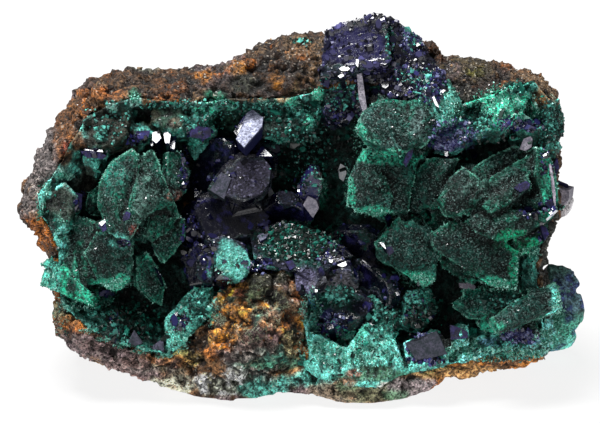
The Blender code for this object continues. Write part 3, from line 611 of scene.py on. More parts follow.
def velvet_material():
    """Felted malachite needles with painted sparkle, lighter on the blades' edges, partly in their own
    colour and partly by painted highlight.
    """
    r = Recipe("malachite_velvet_surface")
    rise, own = r.facets(0.26, 1.2)
    streak = r.noise(0.8, 3.0, 0.65)
    base = r.tinted(r.times(r.span(streak, 0.36, 0.64, 0.4, 1.6), r.span(own, 0.0, 1.0, 0.15, 1.9)))
    # The rim mark, lighter on the blades' edges: partly the needles' paler tips, partly painted highlight.
    rim = r.times(r.read("rim"), r.span(r.noise(0.5, 2.0, 0.6), 0.38, 0.6))
    base = r.mix(rim, base, tone(112, 188, 164))
    # Painted sparkle: small cells painted pale, in patches, as glints of light on the needles.
    patchy = r.span(r.noise(2.5, 2.0, 0.6), 0.35, 0.6, 0.12, 0.62)
    needles = r.times(r.span(r.facets(0.17, 1.0)[1], 0.75, 0.92), patchy)
    base = r.mix(needles, base, tone(116, 148, 142))
    grainy = r.bump(r.noise(0.3, 2.0, 0.75), 0.25, 0.8)
    return r.finish(base, r.span(r.noise(0.34, 1.0, 0.5), 0.3, 0.7, 0.45, 0.8), 0.2,
                    Normal=r.bump(rise, 1.0, 1.0, grainy))


def azurite_material():
    """Blue glassy crystal with growth lines, and a matt coating where there is dust."""
    r = Recipe("azurite_crystal_surface")
    inputs = {"W": r.read("grow"), "Scale": 3.0, "Detail": 4.0, "Roughness": 0.65}
    lines = r.add("TexNoise", inputs, noise_dimensions="1D").outputs["Fac"]
    blue = r.math("MAXIMUM", r.span(r.noise(2.2, 3.0, 0.6), 0.56, 0.72, 0.0, 0.7), r.read("blue"))
    fuzz = r.noise(0.3, 3.0, 0.7)
    coat = r.span(r.math("ADD", r.read("dust"), fuzz), 0.85, 1.15)
    rise, own = r.facets(0.28, 1.0)
    green = r.tinted(r.times(r.span(fuzz, 0.3, 0.7, 0.3, 1.9), r.span(own, 0.0, 1.0, 0.35, 1.6)))
    green = r.mix(r.span(own, 0.88, 0.94, 0.0, 0.35), green, tone(132, 130, 156))
    base = r.mix(coat, r.mix(blue, NAVY, BLUE), green)
    dull = r.math("ADD", r.span(r.noise(0.7, 4.0, 0.7), 0.35, 0.7, 0.08, 0.4), r.times(coat, 0.5))
    wave = r.bump(r.noise(1.2, 2.0, 0.5), 0.16, 0.6)
    ridged = r.bump(lines, 0.05, 0.8, wave)
    grainy = r.bump(r.noise(0.25, 2.0, 0.6), 0.03, 0.7, ridged)
    grainy = r.bump(r.times(coat, rise), 0.6, 1.0, grainy)
    grainy = r.bump(r.times(coat, r.noise(0.3, 2.0, 0.7)), 0.3, 0.9, grainy)
    return r.finish(base, dull, r.span(coat, 0.0, 1.0, 0.5, 0.12), IOR=1.74, Normal=grainy)


def druse(name, dark, light, roughness, shine, power=2.5):
    """Small scattered crystals, each with its own shade; with a high power only a few are light."""
    r = Recipe(name + "_surface")
    return r.finish(r.mix(r.math("POWER", r.read("shade"), power), dark, light), roughness, shine)


def crystal_faces(name, dark, light, smooth, dull, shine=0.6):
    """The faces of single crystals: pitted, so their shine is broken."""
    r = Recipe(name + "_surface")
    cloudy = r.times(r.span(r.noise(0.9, 3.0, 0.6), 0.35, 0.62, 0.15, 1.0),
                     r.span(r.facets(0.2, 1.0)[1], 0.0, 1.0, 0.2, 1.5))
    # Only the front face takes the light colour and the sides keep the dark one: on the pale, glare and
    # glint faces this is painted highlight in front and painted shade on the sides.
    cloudy = r.times(cloudy, r.span(r.read("top"), 0.8, 1.0))
    return r.finish(r.mix(r.times(r.read("shade"), cloudy), dark, light),
                    r.span(r.noise(0.5, 4.0, 0.7), 0.42, 0.62, smooth, dull), shine,
                    Normal=r.bump(r.noise(0.4, 3.0, 0.6), 0.06, 0.9))


def grain_material():
    r = Recipe("rock_grain_surface")
    return r.finish(r.tinted(r.span(r.noise(0.3, 3.0, 0.7), 0.25, 0.75, 0.4, 1.6)), 0.7, 0.4,
                    Normal=r.bump(r.noise(0.25, 3.0, 0.7), 0.2, 0.8))


def finish_piece(name, data, material, node, smooth=True):
    """Makes the mesh a piece of the root body, in place of the node where one is named."""
    set_coordinates(data, np.clip(coordinates(data), *(np.array(cad_box) / MM)))
    data.materials.clear()
    data.materials.append(material)
    data.name = name
    data.polygons.foreach_set("use_smooth", np.full(len(data.polygons), smooth))
    thing = make_object(name, data)
    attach(thing, "root")
    if node:
        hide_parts(node)
    return thing


# The rock. A patch's colour is a palette name, or a print's numbers from 0 to 255.

# Ovals of the limonite boss, on the rock and on the crust round it
ROCK_BOSS = (256, 330, 50, 52)
CRUST_BOSS = (254, 335, 52, 56)
ROCK_MOTTLES = (
    (DARK_BROWN, 9.0, 61, -0.05, 0.2, 1.0), (GREY_PURPLE, 7.0, 81, 0.1, 0.26, 0.8),
    (ORANGE, 5.0, 71, 0.2, 0.34, 0.8), (TAN, 4.0, 91, 0.2, 0.34, 0.7),
)
ROCK_PATCHES = [
    (38, 160, 24, 72, (104, 98, 98), 0.9), (66, 128, 13, 38, (130, 84, 46), 0.8),
    (84, 108, 8, 8, ORANGE, 0.8), (104, 90, 12, 8, (196, 104, 34), 0.8),
    (145, 66, 14, 7, (118, 122, 108), 0.8), (100, 92, 26, 9, ORANGE, 0.7), (120, 80, 34, 10, BROWN, 0.6),
    (70, 148, 8, 8, RUST, 0.9), (43, 230, 18, 18, ORANGE, 0.8), (150, 80, 30, 12, BROWN, 0.8),
    (205, 77, 11, 9, (196, 122, 30), 0.8), (180, 84, 10, 9, (130, 74, 24), 0.8),
    (238, 66, 7, 6, HONEY, 0.8), (277, 78, 7, 11, (150, 96, 24), 0.8), (264, 82, 8, 9, (72, 54, 42), 0.8),
    (225, 90, 40, 12, DARK_BROWN, 0.6), (300, 45, 24, 12, TAN, 0.7), (430, 55, 22, 16, DARK_BROWN, 0.8),
    (480, 72, 34, 14, (84, 72, 46), 0.9), (462, 90, 22, 18, (44, 40, 32), 1.0),
    (476, 72, 14, 5, (126, 124, 58), 0.7), (508, 66, 9, 6, ORANGE, 0.8),
    (552, 333, 18, 20, TURQUOISE * 2.0, 0.95), (528, 346, 24, 8, TURQUOISE * 1.8, 0.9),
    (522, 338, 18, 5, (90, 94, 160), 0.8), (188, 360, 20, 9, (200, 176, 110), 0.8),
    (212, 352, 12, 9, ORANGE, 0.6), (238, 362, 16, 9, (210, 222, 200), 0.95),
    (289, 340, 13, 18, (196, 190, 140), 0.9), (160, 366, 24, 8, (150, 152, 130), 0.7),
    (520, 75, 20, 10, TAN, 0.7), (548, 90, 12, 16, TAN, 0.8), (549, 250, 14, 48, (50, 54, 48), 1.0),
    (529, 282, 8, 12, (30, 44, 38), 1.0), (553, 128, 13, 26, GREEN * 1.4, 0.9),
    (62, 312, 12, 12, (140, 144, 116), 0.8), (70, 322, 16, 10, ORANGE, 0.7), (100, 345, 30, 5, ORANGE, 0.7),
    (165, 362, 34, 6, (150, 92, 48), 0.8), (80, 350, 36, 12, GREY_PURPLE, 0.9),
    (130, 370, 44, 12, GREY_PURPLE, 0.8), (185, 385, 30, 12, PALE_ROCK, 0.8),
    (236, 376, 13, 7, CREAM, 0.95), (222, 387, 28, 9, (224, 230, 210), 0.9),
    (205, 386, 13, 13, (236, 232, 200), 1.0), (262, 390, 26, 8, GREEN * 0.9, 0.9),
    (302, 378, 34, 12, TURQUOISE * 0.8, 0.9), (256, 372, 10, 5, TURQUOISE, 0.7),
    (268, 378, 5, 4, CREAM, 0.8), (352, 372, 9, 4, (150, 110, 96), 0.9), (385, 388, 9, 5, CREAM, 0.9),
    (362, 389, 6, 3, CREAM, 0.9), (360, 396, 30, 7, (140, 108, 84), 0.8),
    (270, 277, 34, 8, (44, 44, 32), 1.0), (246, 86, 16, 9, (52, 66, 56), 0.7),
    (214, 95, 10, 6, BRIGHT_GREEN, 0.7), (134, 95, 5, 6, BRIGHT_GREEN, 0.8),
    (275, 384, 34, 12, TURQUOISE * 0.7, 0.7), (288, 364, 18, 12, (90, 156, 128), 0.8),
    (330, 392, 34, 10, (102, 90, 76), 0.9), (375, 390, 34, 12, (96, 98, 76), 0.9),
    (415, 385, 24, 12, (118, 108, 110), 0.9), (395, 396, 12, 5, (60, 92, 70), 0.8),
    (345, 386, 12, 5, (64, 88, 66), 0.8), (455, 373, 45, 7, (150, 114, 74), 0.9),
    (530, 366, 20, 9, (152, 96, 42), 0.9),
]
BOSS_PATCHES = [
    (274, 288, 30, 16, (40, 42, 30), 1.0), (265, 340, 20, 9, (104, 82, 84), 0.8),
    (270, 362, 26, 10, GREEN, 0.8), (262, 352, 10, 5, TURQUOISE, 0.8), (215, 341, 19, 12, HONEY, 0.8),
    (224, 346, 9, 6, ORANGE, 0.9), (238, 314, 12, 15, (170, 112, 44), 0.8), (289, 319, 7, 8, ORANGE, 0.8),
    (270, 316, 9, 11, (112, 80, 62), 0.8), (253, 300, 8, 12, (66, 74, 52), 0.7),
    (284, 354, 16, 10, GREEN, 0.7), (256, 348, 22, 8, (96, 80, 74), 0.8),
    (236, 375, 14, 9, (228, 234, 224), 1.0), (268, 379, 6, 4, CREAM, 0.9),
    (216, 371, 10, 6, (170, 160, 128), 0.8), (292, 343, 7, 13, (196, 176, 128), 0.8),
    (262, 366, 22, 5, (80, 156, 126), 0.6), (248, 356, 16, 4, (176, 168, 160), 0.6),
]


def in_front(out):
    """1 on the rock's front and 0 behind its rim, by millimetres out of the face plane."""
    return ramp(out, -17.0, -12.0)


def dress_rock():
    data = fine_copy("matrix", ROCK_VOXEL)
    points = coordinates(data)
    lumps = domes(points, 4.2, 11) - 0.5
    small = domes(points, 1.5, 23) - 0.5
    rough = fractal(points, 2.0, 3, 31, 0.7)
    ridged = 0.5 - np.abs(fractal(points, 3.0, 3, 33, 0.6)) * 2.5
    pits = 1 - ramp(np.abs(fractal(points, 3.4, 3, 47)), 0.0, 0.16)
    height = 0.5 * lumps + 0.3 * small + 1.0 * rough + 0.6 * ridged - 0.7 * pits
    points = raised(data, points, normals_of(data), height * ramp(points[:, 2], 0.6, 3.0))
    out = face_of(points)[2]
    data = thinned(data, 0.5, 1 - ramp(out, -20.0, -12.0) * facing(normals_of(data), -0.6, -0.1))
    points = coordinates(data)
    x, y, out = face_of(points)
    ragged = 0.4 * fractal(points, 1.1, 3, 73, 0.7)
    colours = all_over(BROWN, points)
    for colour, size, seed, low, high, share in ROCK_MOTTLES:
        colours = mottled(colours, points, colour, size, 3, seed, low, high, share, ragged)
    front = in_front(out)
    colours = blended(colours, dab(colours, points, ROCK_PATCHES, 101), front)
    beside = ramp(x, 520, 528) * ramp(y, 150, 165) * (1 - ramp(y, 294, 304)) * (1 - front)
    colours = blended(colours, tone(40, 58, 50), beside * 0.9)
    # Painted shade on the rock's upward-facing top and painted light on its low front, then painted shade
    # in the hollows and painted highlight on the edges.
    painted_top_shade = ramp(normals_of(data)[:, 2], 0.1, 0.8) * ramp(points[:, 2], 30, 40)
    painted_low_light = front * ramp(y, 330, 375)
    colours = painted_shade_and_edge_light(colours * (1.0 - 0.6 * painted_top_shade + 0.9 * painted_low_light)[:, None], data, points)

    boss = front * (1 - ramp(oval(x, y, *ROCK_BOSS), 0.8, 1.05))
    far, own = knobs(points, 1.7, 111)
    inside = blended(all_over(tone(76, 58, 42), points), HONEY, ramp(own, 0.62, 0.8) * 0.9)
    inside = blended(inside, tone(104, 62, 46), ramp(own, 0.25, 0.1) * 0.8)
    inside = mottled(inside, points, GREEN, 1.8, 3, 113, 0.12, 0.3, 0.8)
    inside = blended(inside, GREY_PURPLE, ramp(y, 335, 350) * 0.6)
    inside = dab(inside, points, BOSS_PATCHES, 119)
    inside = inside * (0.75 + 0.6 * ramp(fractal(points, 0.9, 2, 117), -0.2, 0.2))[:, None]
    inside = inside * (1.35 - 1.1 * ramp(far, 0.3, 0.7))[:, None]
    # Painted shade in the boss's hollows and painted highlight on its edges.
    colours = blended(colours, painted_shade_and_edge_light(inside * 1.45, data, points), boss)
    add_values(data, "vein", 0.6 * boss * ramp(fractal(points, 2.6, 2, 121), 0.0, 0.2))
    add_colours(data, np.clip(colours, 0, BRIGHTEST))
    return finish_piece("rock", data, rock_material(), "matrix")


# The crust that lines the pocket

CRUST_PATCHES = [
    (55, 178, 24, 14, PALE_GREEN, 0.6), (40, 205, 12, 22, TURQUOISE, 0.8),
    (62, 236, 9, 12, TURQUOISE * 1.9, 0.9), (50, 265, 10, 40, TURQUOISE, 0.6),
    (108, 128, 34, 30, (32, 34, 28), 1.0), (85, 178, 12, 16, (40, 36, 32), 0.9),
    (101, 136, 7, 7, GREEN, 0.9), (60, 205, 16, 18, (40, 52, 44), 0.8), (134, 100, 8, 8, PALE_GREEN, 0.7),
    (112, 109, 6, 5, PALE_GREEN, 0.6), (165, 118, 34, 16, (30, 50, 40), 1.0),
    (225, 118, 26, 14, (34, 62, 50), 0.8), (204, 108, 12, 8, BRIGHT_GREEN, 0.8),
    (195, 130, 20, 18, GREEN, 0.8), (260, 105, 70, 12, DEEP_GREEN, 0.7), (305, 115, 24, 20, GREEN, 0.6),
    (300, 160, 34, 50, BLACK_GREEN * 2.0, 0.9), (315, 190, 12, 20, BRIGHT_GREEN, 0.4),
    (475, 118, 26, 20, GREEN, 0.8), (505, 100, 34, 22, BRIGHT_GREEN * 1.5, 0.8),
    # The black-green patch at 510, 148 is painted shadow under the plates above it.
    (530, 84, 14, 8, TURQUOISE, 0.6), (552, 125, 14, 26, GREEN, 0.8), (510, 148, 34, 14, BLACK_GREEN, 0.8),
    (130, 325, 40, 26, BLACK_GREEN, 0.9), (60, 318, 16, 22, TURQUOISE, 0.6),
    (88, 330, 14, 5, TURQUOISE, 0.9), (112, 343, 16, 4, TURQUOISE, 0.9), (148, 353, 24, 4, TURQUOISE, 0.9),
    (180, 335, 20, 24, TURQUOISE * 1.2, 0.8), (213, 345, 22, 20, ORANGE, 0.8),
    (243, 315, 20, 24, ORANGE, 0.9), (285, 325, 18, 24, HONEY, 0.7), (290, 288, 13, 13, (46, 42, 30), 1.0),
    (311, 318, 13, 30, TURQUOISE * 2.4, 0.95), (316, 300, 12, 8, (70, 110, 190), 0.7),
    (190, 320, 12, 20, GREEN, 0.7), (350, 360, 60, 40, TURQUOISE * 1.5, 0.9),
    (345, 330, 26, 10, BRIGHT_GREEN, 0.6), (420, 370, 50, 12, TURQUOISE * 1.3, 0.8),
    (368, 375, 38, 8, (54, 84, 62), 0.95), (352, 373, 9, 4, (150, 110, 96), 0.9),
    (345, 385, 12, 8, (130, 92, 70), 0.8), (385, 386, 9, 5, CREAM, 0.8),
    (398, 378, 12, 8, (54, 100, 80), 0.8), (150, 100, 11, 5, BROWN, 0.9), (176, 98, 8, 4, DARK_BROWN, 0.9),
    (200, 99, 9, 5, DARK_BROWN, 0.9), (236, 98, 10, 6, DARK_BROWN, 0.8), (256, 97, 12, 5, BROWN, 0.8),
    (283, 98, 6, 4, TAN, 0.8), (175, 123, 6, 5, (70, 46, 36), 0.7), (150, 117, 9, 8, (54, 46, 36), 0.6),
    (197, 112, 7, 6, BRIGHT_GREEN * 1.6, 0.9), (211, 105, 6, 9, BRIGHT_GREEN * 1.6, 0.9),
    (229, 106, 9, 6, BRIGHT_GREEN, 0.8), (294, 106, 9, 8, BRIGHT_GREEN * 1.6, 0.9),
    (308, 120, 6, 9, BRIGHT_GREEN, 0.7), (317, 94, 5, 8, BRIGHT_GREEN * 1.6, 0.9),
    (278, 127, 18, 12, (12, 30, 26), 1.0), (480, 352, 60, 14, TURQUOISE * 2.1, 0.95),
    (466, 345, 17, 11, TURQUOISE * 2.4, 0.95), (552, 335, 18, 20, TURQUOISE * 2.0, 0.95),
    (490, 365, 60, 2, BLACK_GREEN, 0.9), (525, 338, 18, 7, (100, 104, 168), 0.8),
    (490, 344, 12, 6, (90, 96, 150), 0.7), (445, 335, 10, 20, BLACK_GREEN * 0.6, 1.0),
    (424, 318, 20, 16, BLACK_GREEN * 1.5, 0.9), (453, 135, 24, 17, (40, 66, 84), 0.9),
    (455, 159, 8, 4, RUST, 0.7), (188, 205, 5, 10, HONEY, 0.5), (77, 134, 7, 14, (70, 48, 30), 0.95),
    (65, 157, 8, 11, (70, 48, 30), 0.95), (58, 203, 15, 13, (34, 40, 34), 0.95),
    (73, 171, 7, 4, TURQUOISE * 1.7, 0.95), (62, 177, 8, 4, TURQUOISE * 1.7, 0.95),
    (52, 183, 7, 4, TURQUOISE * 1.7, 0.95), (44, 192, 5, 8, TURQUOISE * 1.7, 0.95),
    (530, 352, 26, 7, TURQUOISE * 2.4, 0.95), (548, 92, 11, 13, (124, 92, 62), 0.95),
]


def on_boss(x, y):
    return 1 - ramp(oval(x, y, *CRUST_BOSS), 0.85, 1.1)


def dress_crust():
    data = fine_copy("pocket_crust", CRUST_VOXEL)
    points = coordinates(data)
    normal = normals_of(data)
    x, y, out = face_of(points)
    fibrous = ramp(x, 285, 310) * ramp(y, 280, 300)
    streaky = fractal(points * np.array([1.0, 0.5, 0.35]), 0.7, 2, 29)
    rough = fractal(points, 1.4, 2, 19, 0.6)
    height = 0.7 * domes(points, 2.3, 13) + 0.4 * domes(points, 1.1, 17) + 0.45 * rough - 0.6
    height = height * (1 - 0.5 * fibrous) + fibrous * 0.5 * streaky
    height += on_boss(x, y) * (domes(points, 2.0, 37) - 0.4) * 1.1
    raised(data, points, normal, height * (0.25 + 0.75 * facing(normal, 0.0, 0.5)))
    data = thinned(data, 0.48, 1 - facing(normals_of(data), -0.3, 0.1))
    points = coordinates(data)
    x, y, out = face_of(points)
    boss = on_boss(x, y)
    deep = 1 - ramp(out, -8.5, -2.5)
    colours = mottled(all_over(GREEN, points), points, TURQUOISE, 3.2, 3, 41, 0.0, 0.3)
    colours = mottled(colours, points, DEEP_GREEN, 4.2, 3, 43, -0.1, 0.15, 0.8)
    # Painted shade: the lining darkens towards black-green the deeper it lies in the pocket.
    colours = blended(colours, BLACK_GREEN, deep * 0.85)
    # Painted shade in the hollows and painted highlight on the edges.
    colours = painted_shade_and_edge_light(dab(colours, points, CRUST_PATCHES, 53), data, points)
    veins = 1 - ramp(np.abs(fractal(points, 2.2, 3, 39)), 0.02, 0.09)
    colours = blended(colours, VEIN_GREEN, boss * veins * 0.85)
    add_colours(data, colours)
    bright = ramp(colours[:, 1], 0.03, 0.2)
    add_values(data, "frost", np.clip((1 - deep) * (1 - boss) * 0.5 * bright + 0.04, 0, 1))
    return finish_piece("lining", data, crust_material(), "pocket_crust")


# The sprays of malachite blades

FAN_PATCHES = {
    "malachite_rosette": [
        (112, 170, 10, 26, GREEN, 0.7), (145, 205, 12, 34, (50, 72, 66), 0.7),
        (122, 262, 20, 12, (14, 44, 38), 0.7), (52, 280, 15, 26, (30, 136, 106), 0.8),
        (80, 301, 22, 7, (26, 124, 96), 0.8), (80, 258, 10, 22, (26, 38, 34), 0.8),
        (115, 240, 14, 8, TURQUOISE, 0.6), (115, 286, 22, 9, BRIGHT_GREEN, 0.8),
        (48, 270, 10, 40, TURQUOISE, 0.6), (80, 262, 7, 24, BRIGHT_GREEN, 0.5),
        (150, 255, 8, 6, BRIGHT_GREEN, 0.5), (135, 230, 6, 6, (62, 30, 26), 0.8),
        (176, 195, 8, 6, (62, 30, 26), 0.8),
    ],
    "malachite_centre_fans": [
        (405, 250, 26, 20, (14, 42, 38), 0.8), (372, 180, 16, 20, (16, 36, 32), 0.6),
        (446, 105, 16, 30, TURQUOISE, 0.8), (360, 135, 7, 26, BRIGHT_GREEN, 0.7),
        (395, 158, 34, 7, BRIGHT_GREEN, 0.6), (418, 120, 12, 22, (70, 84, 84), 0.6),
        (350, 185, 6, 26, BRIGHT_GREEN, 0.5), (372, 212, 22, 5, BRIGHT_GREEN, 0.7),
        (420, 280, 18, 8, BRIGHT_GREEN, 0.6),
    ],
    "malachite_right_fans": [
        (475, 190, 24, 12, (44, 62, 58), 0.6), (492, 283, 20, 5, BRIGHT_GREEN, 0.7),
        (514, 266, 7, 18, (16, 110, 82), 0.8), (520, 243, 22, 12, (14, 112, 80), 0.9),
        (551, 180, 8, 34, BRIGHT_GREEN, 0.6), (522, 188, 8, 7, NAVY, 0.8),
        # Painted shadow under the plates above.
        (510, 145, 32, 12, BLACK_GREEN, 0.7),
    ],
    "malachite_lower_blades": [
        (558, 306, 9, 26, TURQUOISE * 1.8, 0.95), (490, 326, 16, 8, BRIGHT_GREEN, 0.5),
    ],
}


def leaves_on(data, root, count, seed):
    """Leaf-shaped blades that overlap like scales, their tips pointing away from the root of the spray."""
    centre = np.array(on_face(*root)) / MM
    places, normal = surface_places(data, count, seed)
    draw = np.random.default_rng(seed + 1)
    outward = places - centre
    outward = unit(outward - normal * (outward * normal).sum(axis=1)[:, None])
    outward = outward + normal * draw.uniform(0.1, 0.45, (count, 1))
    along = unit(outward + 0.25 * draw.normal(size=normal.shape))
    side = unit(np.cross(normal, along))
    axes = np.stack([along, side, np.cross(along, side)], axis=1)
    size = np.stack([draw.uniform(*limits, count) for limits in LEAF_SIZES], axis=1)
    places = places - along * size[:, :1] * 0.35
    leaves = swarm("leaves", LEAF, places, axes, size)
    corners = placed(LEAF_OUTLINE, places, axes, size)
    following = np.roll(corners, -1, axis=1)
    edge = [corners + (following - corners) * t for t in np.linspace(0, 1, 8)]
    return leaves, np.concatenate(edge).reshape(-1, 3) * MM


def dress_fans(node, name, seed, root, count, light):
    """The blades of one spray, with leaves grown on them, ragged faces, painted shade in their hollows and
    lighter edges, partly their own colour and partly painted highlight.
    """
    base = plain_copy(node)
    leaves, leaf_edges = leaves_on(base, root, count, seed + 40)
    work = bmesh.new()
    work.from_mesh(base)
    work.from_mesh(leaves)
    joined = bpy.data.meshes.new(name + "_joined")
    work.to_mesh(joined)
    work.free()
    data = remeshed(joined, FAN_VOXEL)
    points = coordinates(data)
    outer = edge_points(node, 50)
    spots = outer + [Vector(p) for p in leaf_edges]
    height = 0.07 * domes(points, 0.75, seed) + 0.16 * fractal(points, 1.6, 3, seed + 3, 0.6) - 0.16
    raised(data, points, normals_of(data), height)
    add_values(data, "rim", np.exp(-(edge_distance(points, spots) / 0.36) ** 2))
    add_values(data, "band", np.exp(-(edge_distance(points, outer) / 1.2) ** 2))
    data = thinned(data, 0.5, 1 - facing(normals_of(data), -0.4, 0.0))
    points = coordinates(data)
    rim = values_of(data, "rim").astype(float)
    band = values_of(data, "band") * ramp(fractal(points, 3.5, 2, seed + 15), -0.3, 0.15)
    colours = mottled(all_over(DEEP_GREEN, points), points, GREEN, 3.0, 3, seed + 7, 0.05, 0.4, 0.5)
    colours = mottled(colours, points, BLACK_GREEN, 4.0, 2, seed + 9, 0.0, 0.4, 0.6)
    colours = blended(colours * light, tone(14, 88, 70), band * 0.45)
    colours = dab(colours, points, FAN_PATCHES[node], seed + 11)
    # Strong painted shade in the hollows between the blades and painted highlight on their edges.
    add_colours(data, painted_shade_and_edge_light(colours, data, points, 2.2))
    # The rim mark lightens sharp edges in patches: partly the paler tips of the needles, partly painted
    # highlight.
    edge = ramp(standing_out(data, points, normals_of(data), 7), 0.07, 0.19)
    lit = 0.25 + 0.75 * ramp(fractal(points, 4.0, 2, seed + 13), -0.1, 0.2)
    add_values(data, "rim", np.clip(edge * (0.8 + 0.8 * rim) * lit, 0, 1))
    return finish_piece(name, data, velvet_material(), node)


# The azurite

# Patches of five marks: how thick the coating is, how blue the crystal is, and the coating's colour.
COATED = np.array([1.2, 0.0, *(DEEP_GREEN * 1.6)])
PALE_COAT = np.array([1.2, 0.0, *(TURQUOISE * 1.1)])
LAVENDER_COAT = np.array([0.95, 0.6, *tone(84, 80, 106)])
SPECKLED = np.array([1.1, 0.5, *tone(176, 182, 200)])
# Painted light: a near-white coat standing in for the light on the side crystal.
PAINTED_LIGHT_COAT = np.array([1.4, 0.0, *tone(250, 246, 250)])
PLATE_COAT = np.array([0.95, 0.0, *tone(44, 42, 56)])
DARK_COAT = np.array([1.3, 0.0, *tone(22, 26, 40)])
GREY_COAT = np.array([0.95, 0.0, *tone(92, 90, 96)])
BARE = np.array([0.0, 0.0, *DEEP_GREEN])
BARE_BLUE = np.array([0.0, 0.9, *DEEP_GREEN])
AZURITE_PATCHES = [
    (303, 246, 46, 24, COATED, 1.0), (278, 268, 22, 7, DARK_COAT, 1.0), (288, 198, 10, 9, DARK_COAT, 1.0),
    (362, 304, 16, 18, DARK_COAT, 1.0), (341, 264, 19, 13, DARK_COAT, 1.0),
    (340, 71, 24, 7, DARK_COAT, 0.9), (335, 298, 22, 12, COATED, 1.0),
    (306, 280, 12, 14, LAVENDER_COAT, 0.9), (336, 284, 20, 11, GREY_COAT, 0.9),
    (248, 182, 30, 24, PLATE_COAT, 1.0), (412, 38, 14, 16, SPECKLED, 1.0), (438, 80, 9, 18, SPECKLED, 0.9),
    (340, 245, 16, 18, BARE, 1.0), (222, 222, 30, 20, BARE, 1.0), (248, 128, 16, 20, BARE, 1.0),
    (232, 248, 30, 14, DARK_COAT, 1.0), (205, 270, 9, 16, DARK_COAT, 1.0),
    (233, 265, 18, 19, PALE_COAT, 1.0), (355, 45, 34, 30, BARE_BLUE, 0.5), (390, 45, 4, 20, COATED, 0.9),
    (425, 85, 16, 20, COATED, 0.5), (335, 325, 18, 16, BARE_BLUE, 0.7), (425, 345, 26, 14, BARE, 1.0),
    (308, 195, 10, 26, BARE_BLUE, 0.7),
]


def stepped_copy(node, seed):
    """A node's flat faces made whole, given narrow bevels and thin growth steps."""
    work = bmesh.new()
    work.from_mesh(plain_copy(node))
    bmesh.ops.dissolve_limit(
        work, angle_limit=math.radians(1.5), use_dissolve_boundaries=False,
        verts=work.verts, edges=work.edges,
    )
    draw = np.random.default_rng(seed)
    for _ in range(3):
        for face in list(work.faces):
            area = face.calc_area() / MM / MM
            if area < 3.0 or len(face.verts) > 10 or draw.random() > 0.8:
                continue
            inset = draw.uniform(0.12, 0.5) * MM * min(1.6, math.sqrt(area) / 3)
            depth = draw.choice([-1, 1, 1]) * draw.uniform(0.04, 0.12) * MM
            bmesh.ops.inset_individual(work, faces=[face], thickness=inset, depth=depth)
    data = bpy.data.meshes.new(node + "_steps")
    work.to_mesh(data)
    work.free()
    thing = make_object(node + "_work", data)
    bevel = thing.modifiers.new("bevel", "BEVEL")
    bevel.width = CRYSTAL_BEVEL * MM
    bevel.segments = 1
    bevel.limit_method = "ANGLE"
    bevel.angle_limit = math.radians(28)
    bevel.use_clamp_overlap = True
    data = evaluated(thing)
    mark_growth(data, seed)
    work = bmesh.new()
    work.from_mesh(data)
    bmesh.ops.triangulate(work, faces=work.faces)
    for _ in range(4):
        long = [e for e in work.edges if e.calc_length() > LONGEST_EDGE * MM]
        bmesh.ops.subdivide_edges(work, edges=long, cuts=1)
        bmesh.ops.triangulate(work, faces=[f for f in work.faces if len(f.verts) > 3])
    work.to_mesh(data)
    work.free()
    return data


def mark_growth(data, seed):
    """Stores, on each corner, how far it is across its face's growth lines, in millimetres."""
    draw = np.random.default_rng(seed)
    values = np.zeros(len(data.loops), np.float32)
    for face in data.polygons:
        corners = [data.vertices[i].co for i in face.vertices]
        edges = [corners[i] - corners[i - 1] for i in range(len(corners))]
        along = max(edges, key=lambda e: e.length).normalized()
        across = along.cross(face.normal)
        shift = draw.uniform(0, 50)
        for i, corner in zip(face.loop_indices, corners):
            values[i] = corner.dot(across) / MM + shift
    layer = data.attributes.new("grow", "FLOAT", "CORNER")
    layer.data.foreach_set("value", values)


def dress_azurite(node, name, seed):
    data = stepped_copy(node, seed)
    points = coordinates(data)
    marks = all_over(BARE, points)
    marks[:, 0] = ramp(fractal(points, 2.5, 3, seed + 3), 0.1, 0.4) * 0.6
    # The side crystal is coated near white all over: painted light.
    if node == "azurite_side_crystal":
        marks = all_over(PAINTED_LIGHT_COAT, points)
    marks = dab(marks, points, AZURITE_PATCHES, seed + 5)
    add_values(data, "dust", marks[:, 0])
    add_values(data, "blue", np.clip(marks[:, 1], 0, 1))
    add_colours(data, marks[:, 2:])
    return finish_piece(name, data, azurite_material(), node, smooth=False)


def dress_lobe():
    data = fine_copy("rear_lobe", LOBE_VOXEL)
    points = coordinates(data)
    height = 0.4 * domes(points, 1.9, 401) + 0.15 * fractal(points, 1.2, 2, 403) - 0.25
    points = raised(data, points, normals_of(data), height)
    y = face_of(points)[1]
    colours = mottled(all_over(tone(56, 84, 80), points), points, SLATE, 3.0, 2, 405, 0.0, 0.25, 0.6)
    colours = blended(colours, tone(100, 192, 166), ramp(y, 312, 334) * 0.9)
    colours = mottled(colours, points, tone(46, 50, 98), 2.2, 2, 409, 0.14, 0.28, 0.8)
    # Painted shade in the hollows and painted highlight on the edges.
    add_colours(data, painted_shade_and_edge_light(colours * 1.3, data, points))
    add_values(data, "frost", np.full(len(points), 0.4))
    return finish_piece("rear_lobe_surface", data, crust_material(), "rear_lobe")


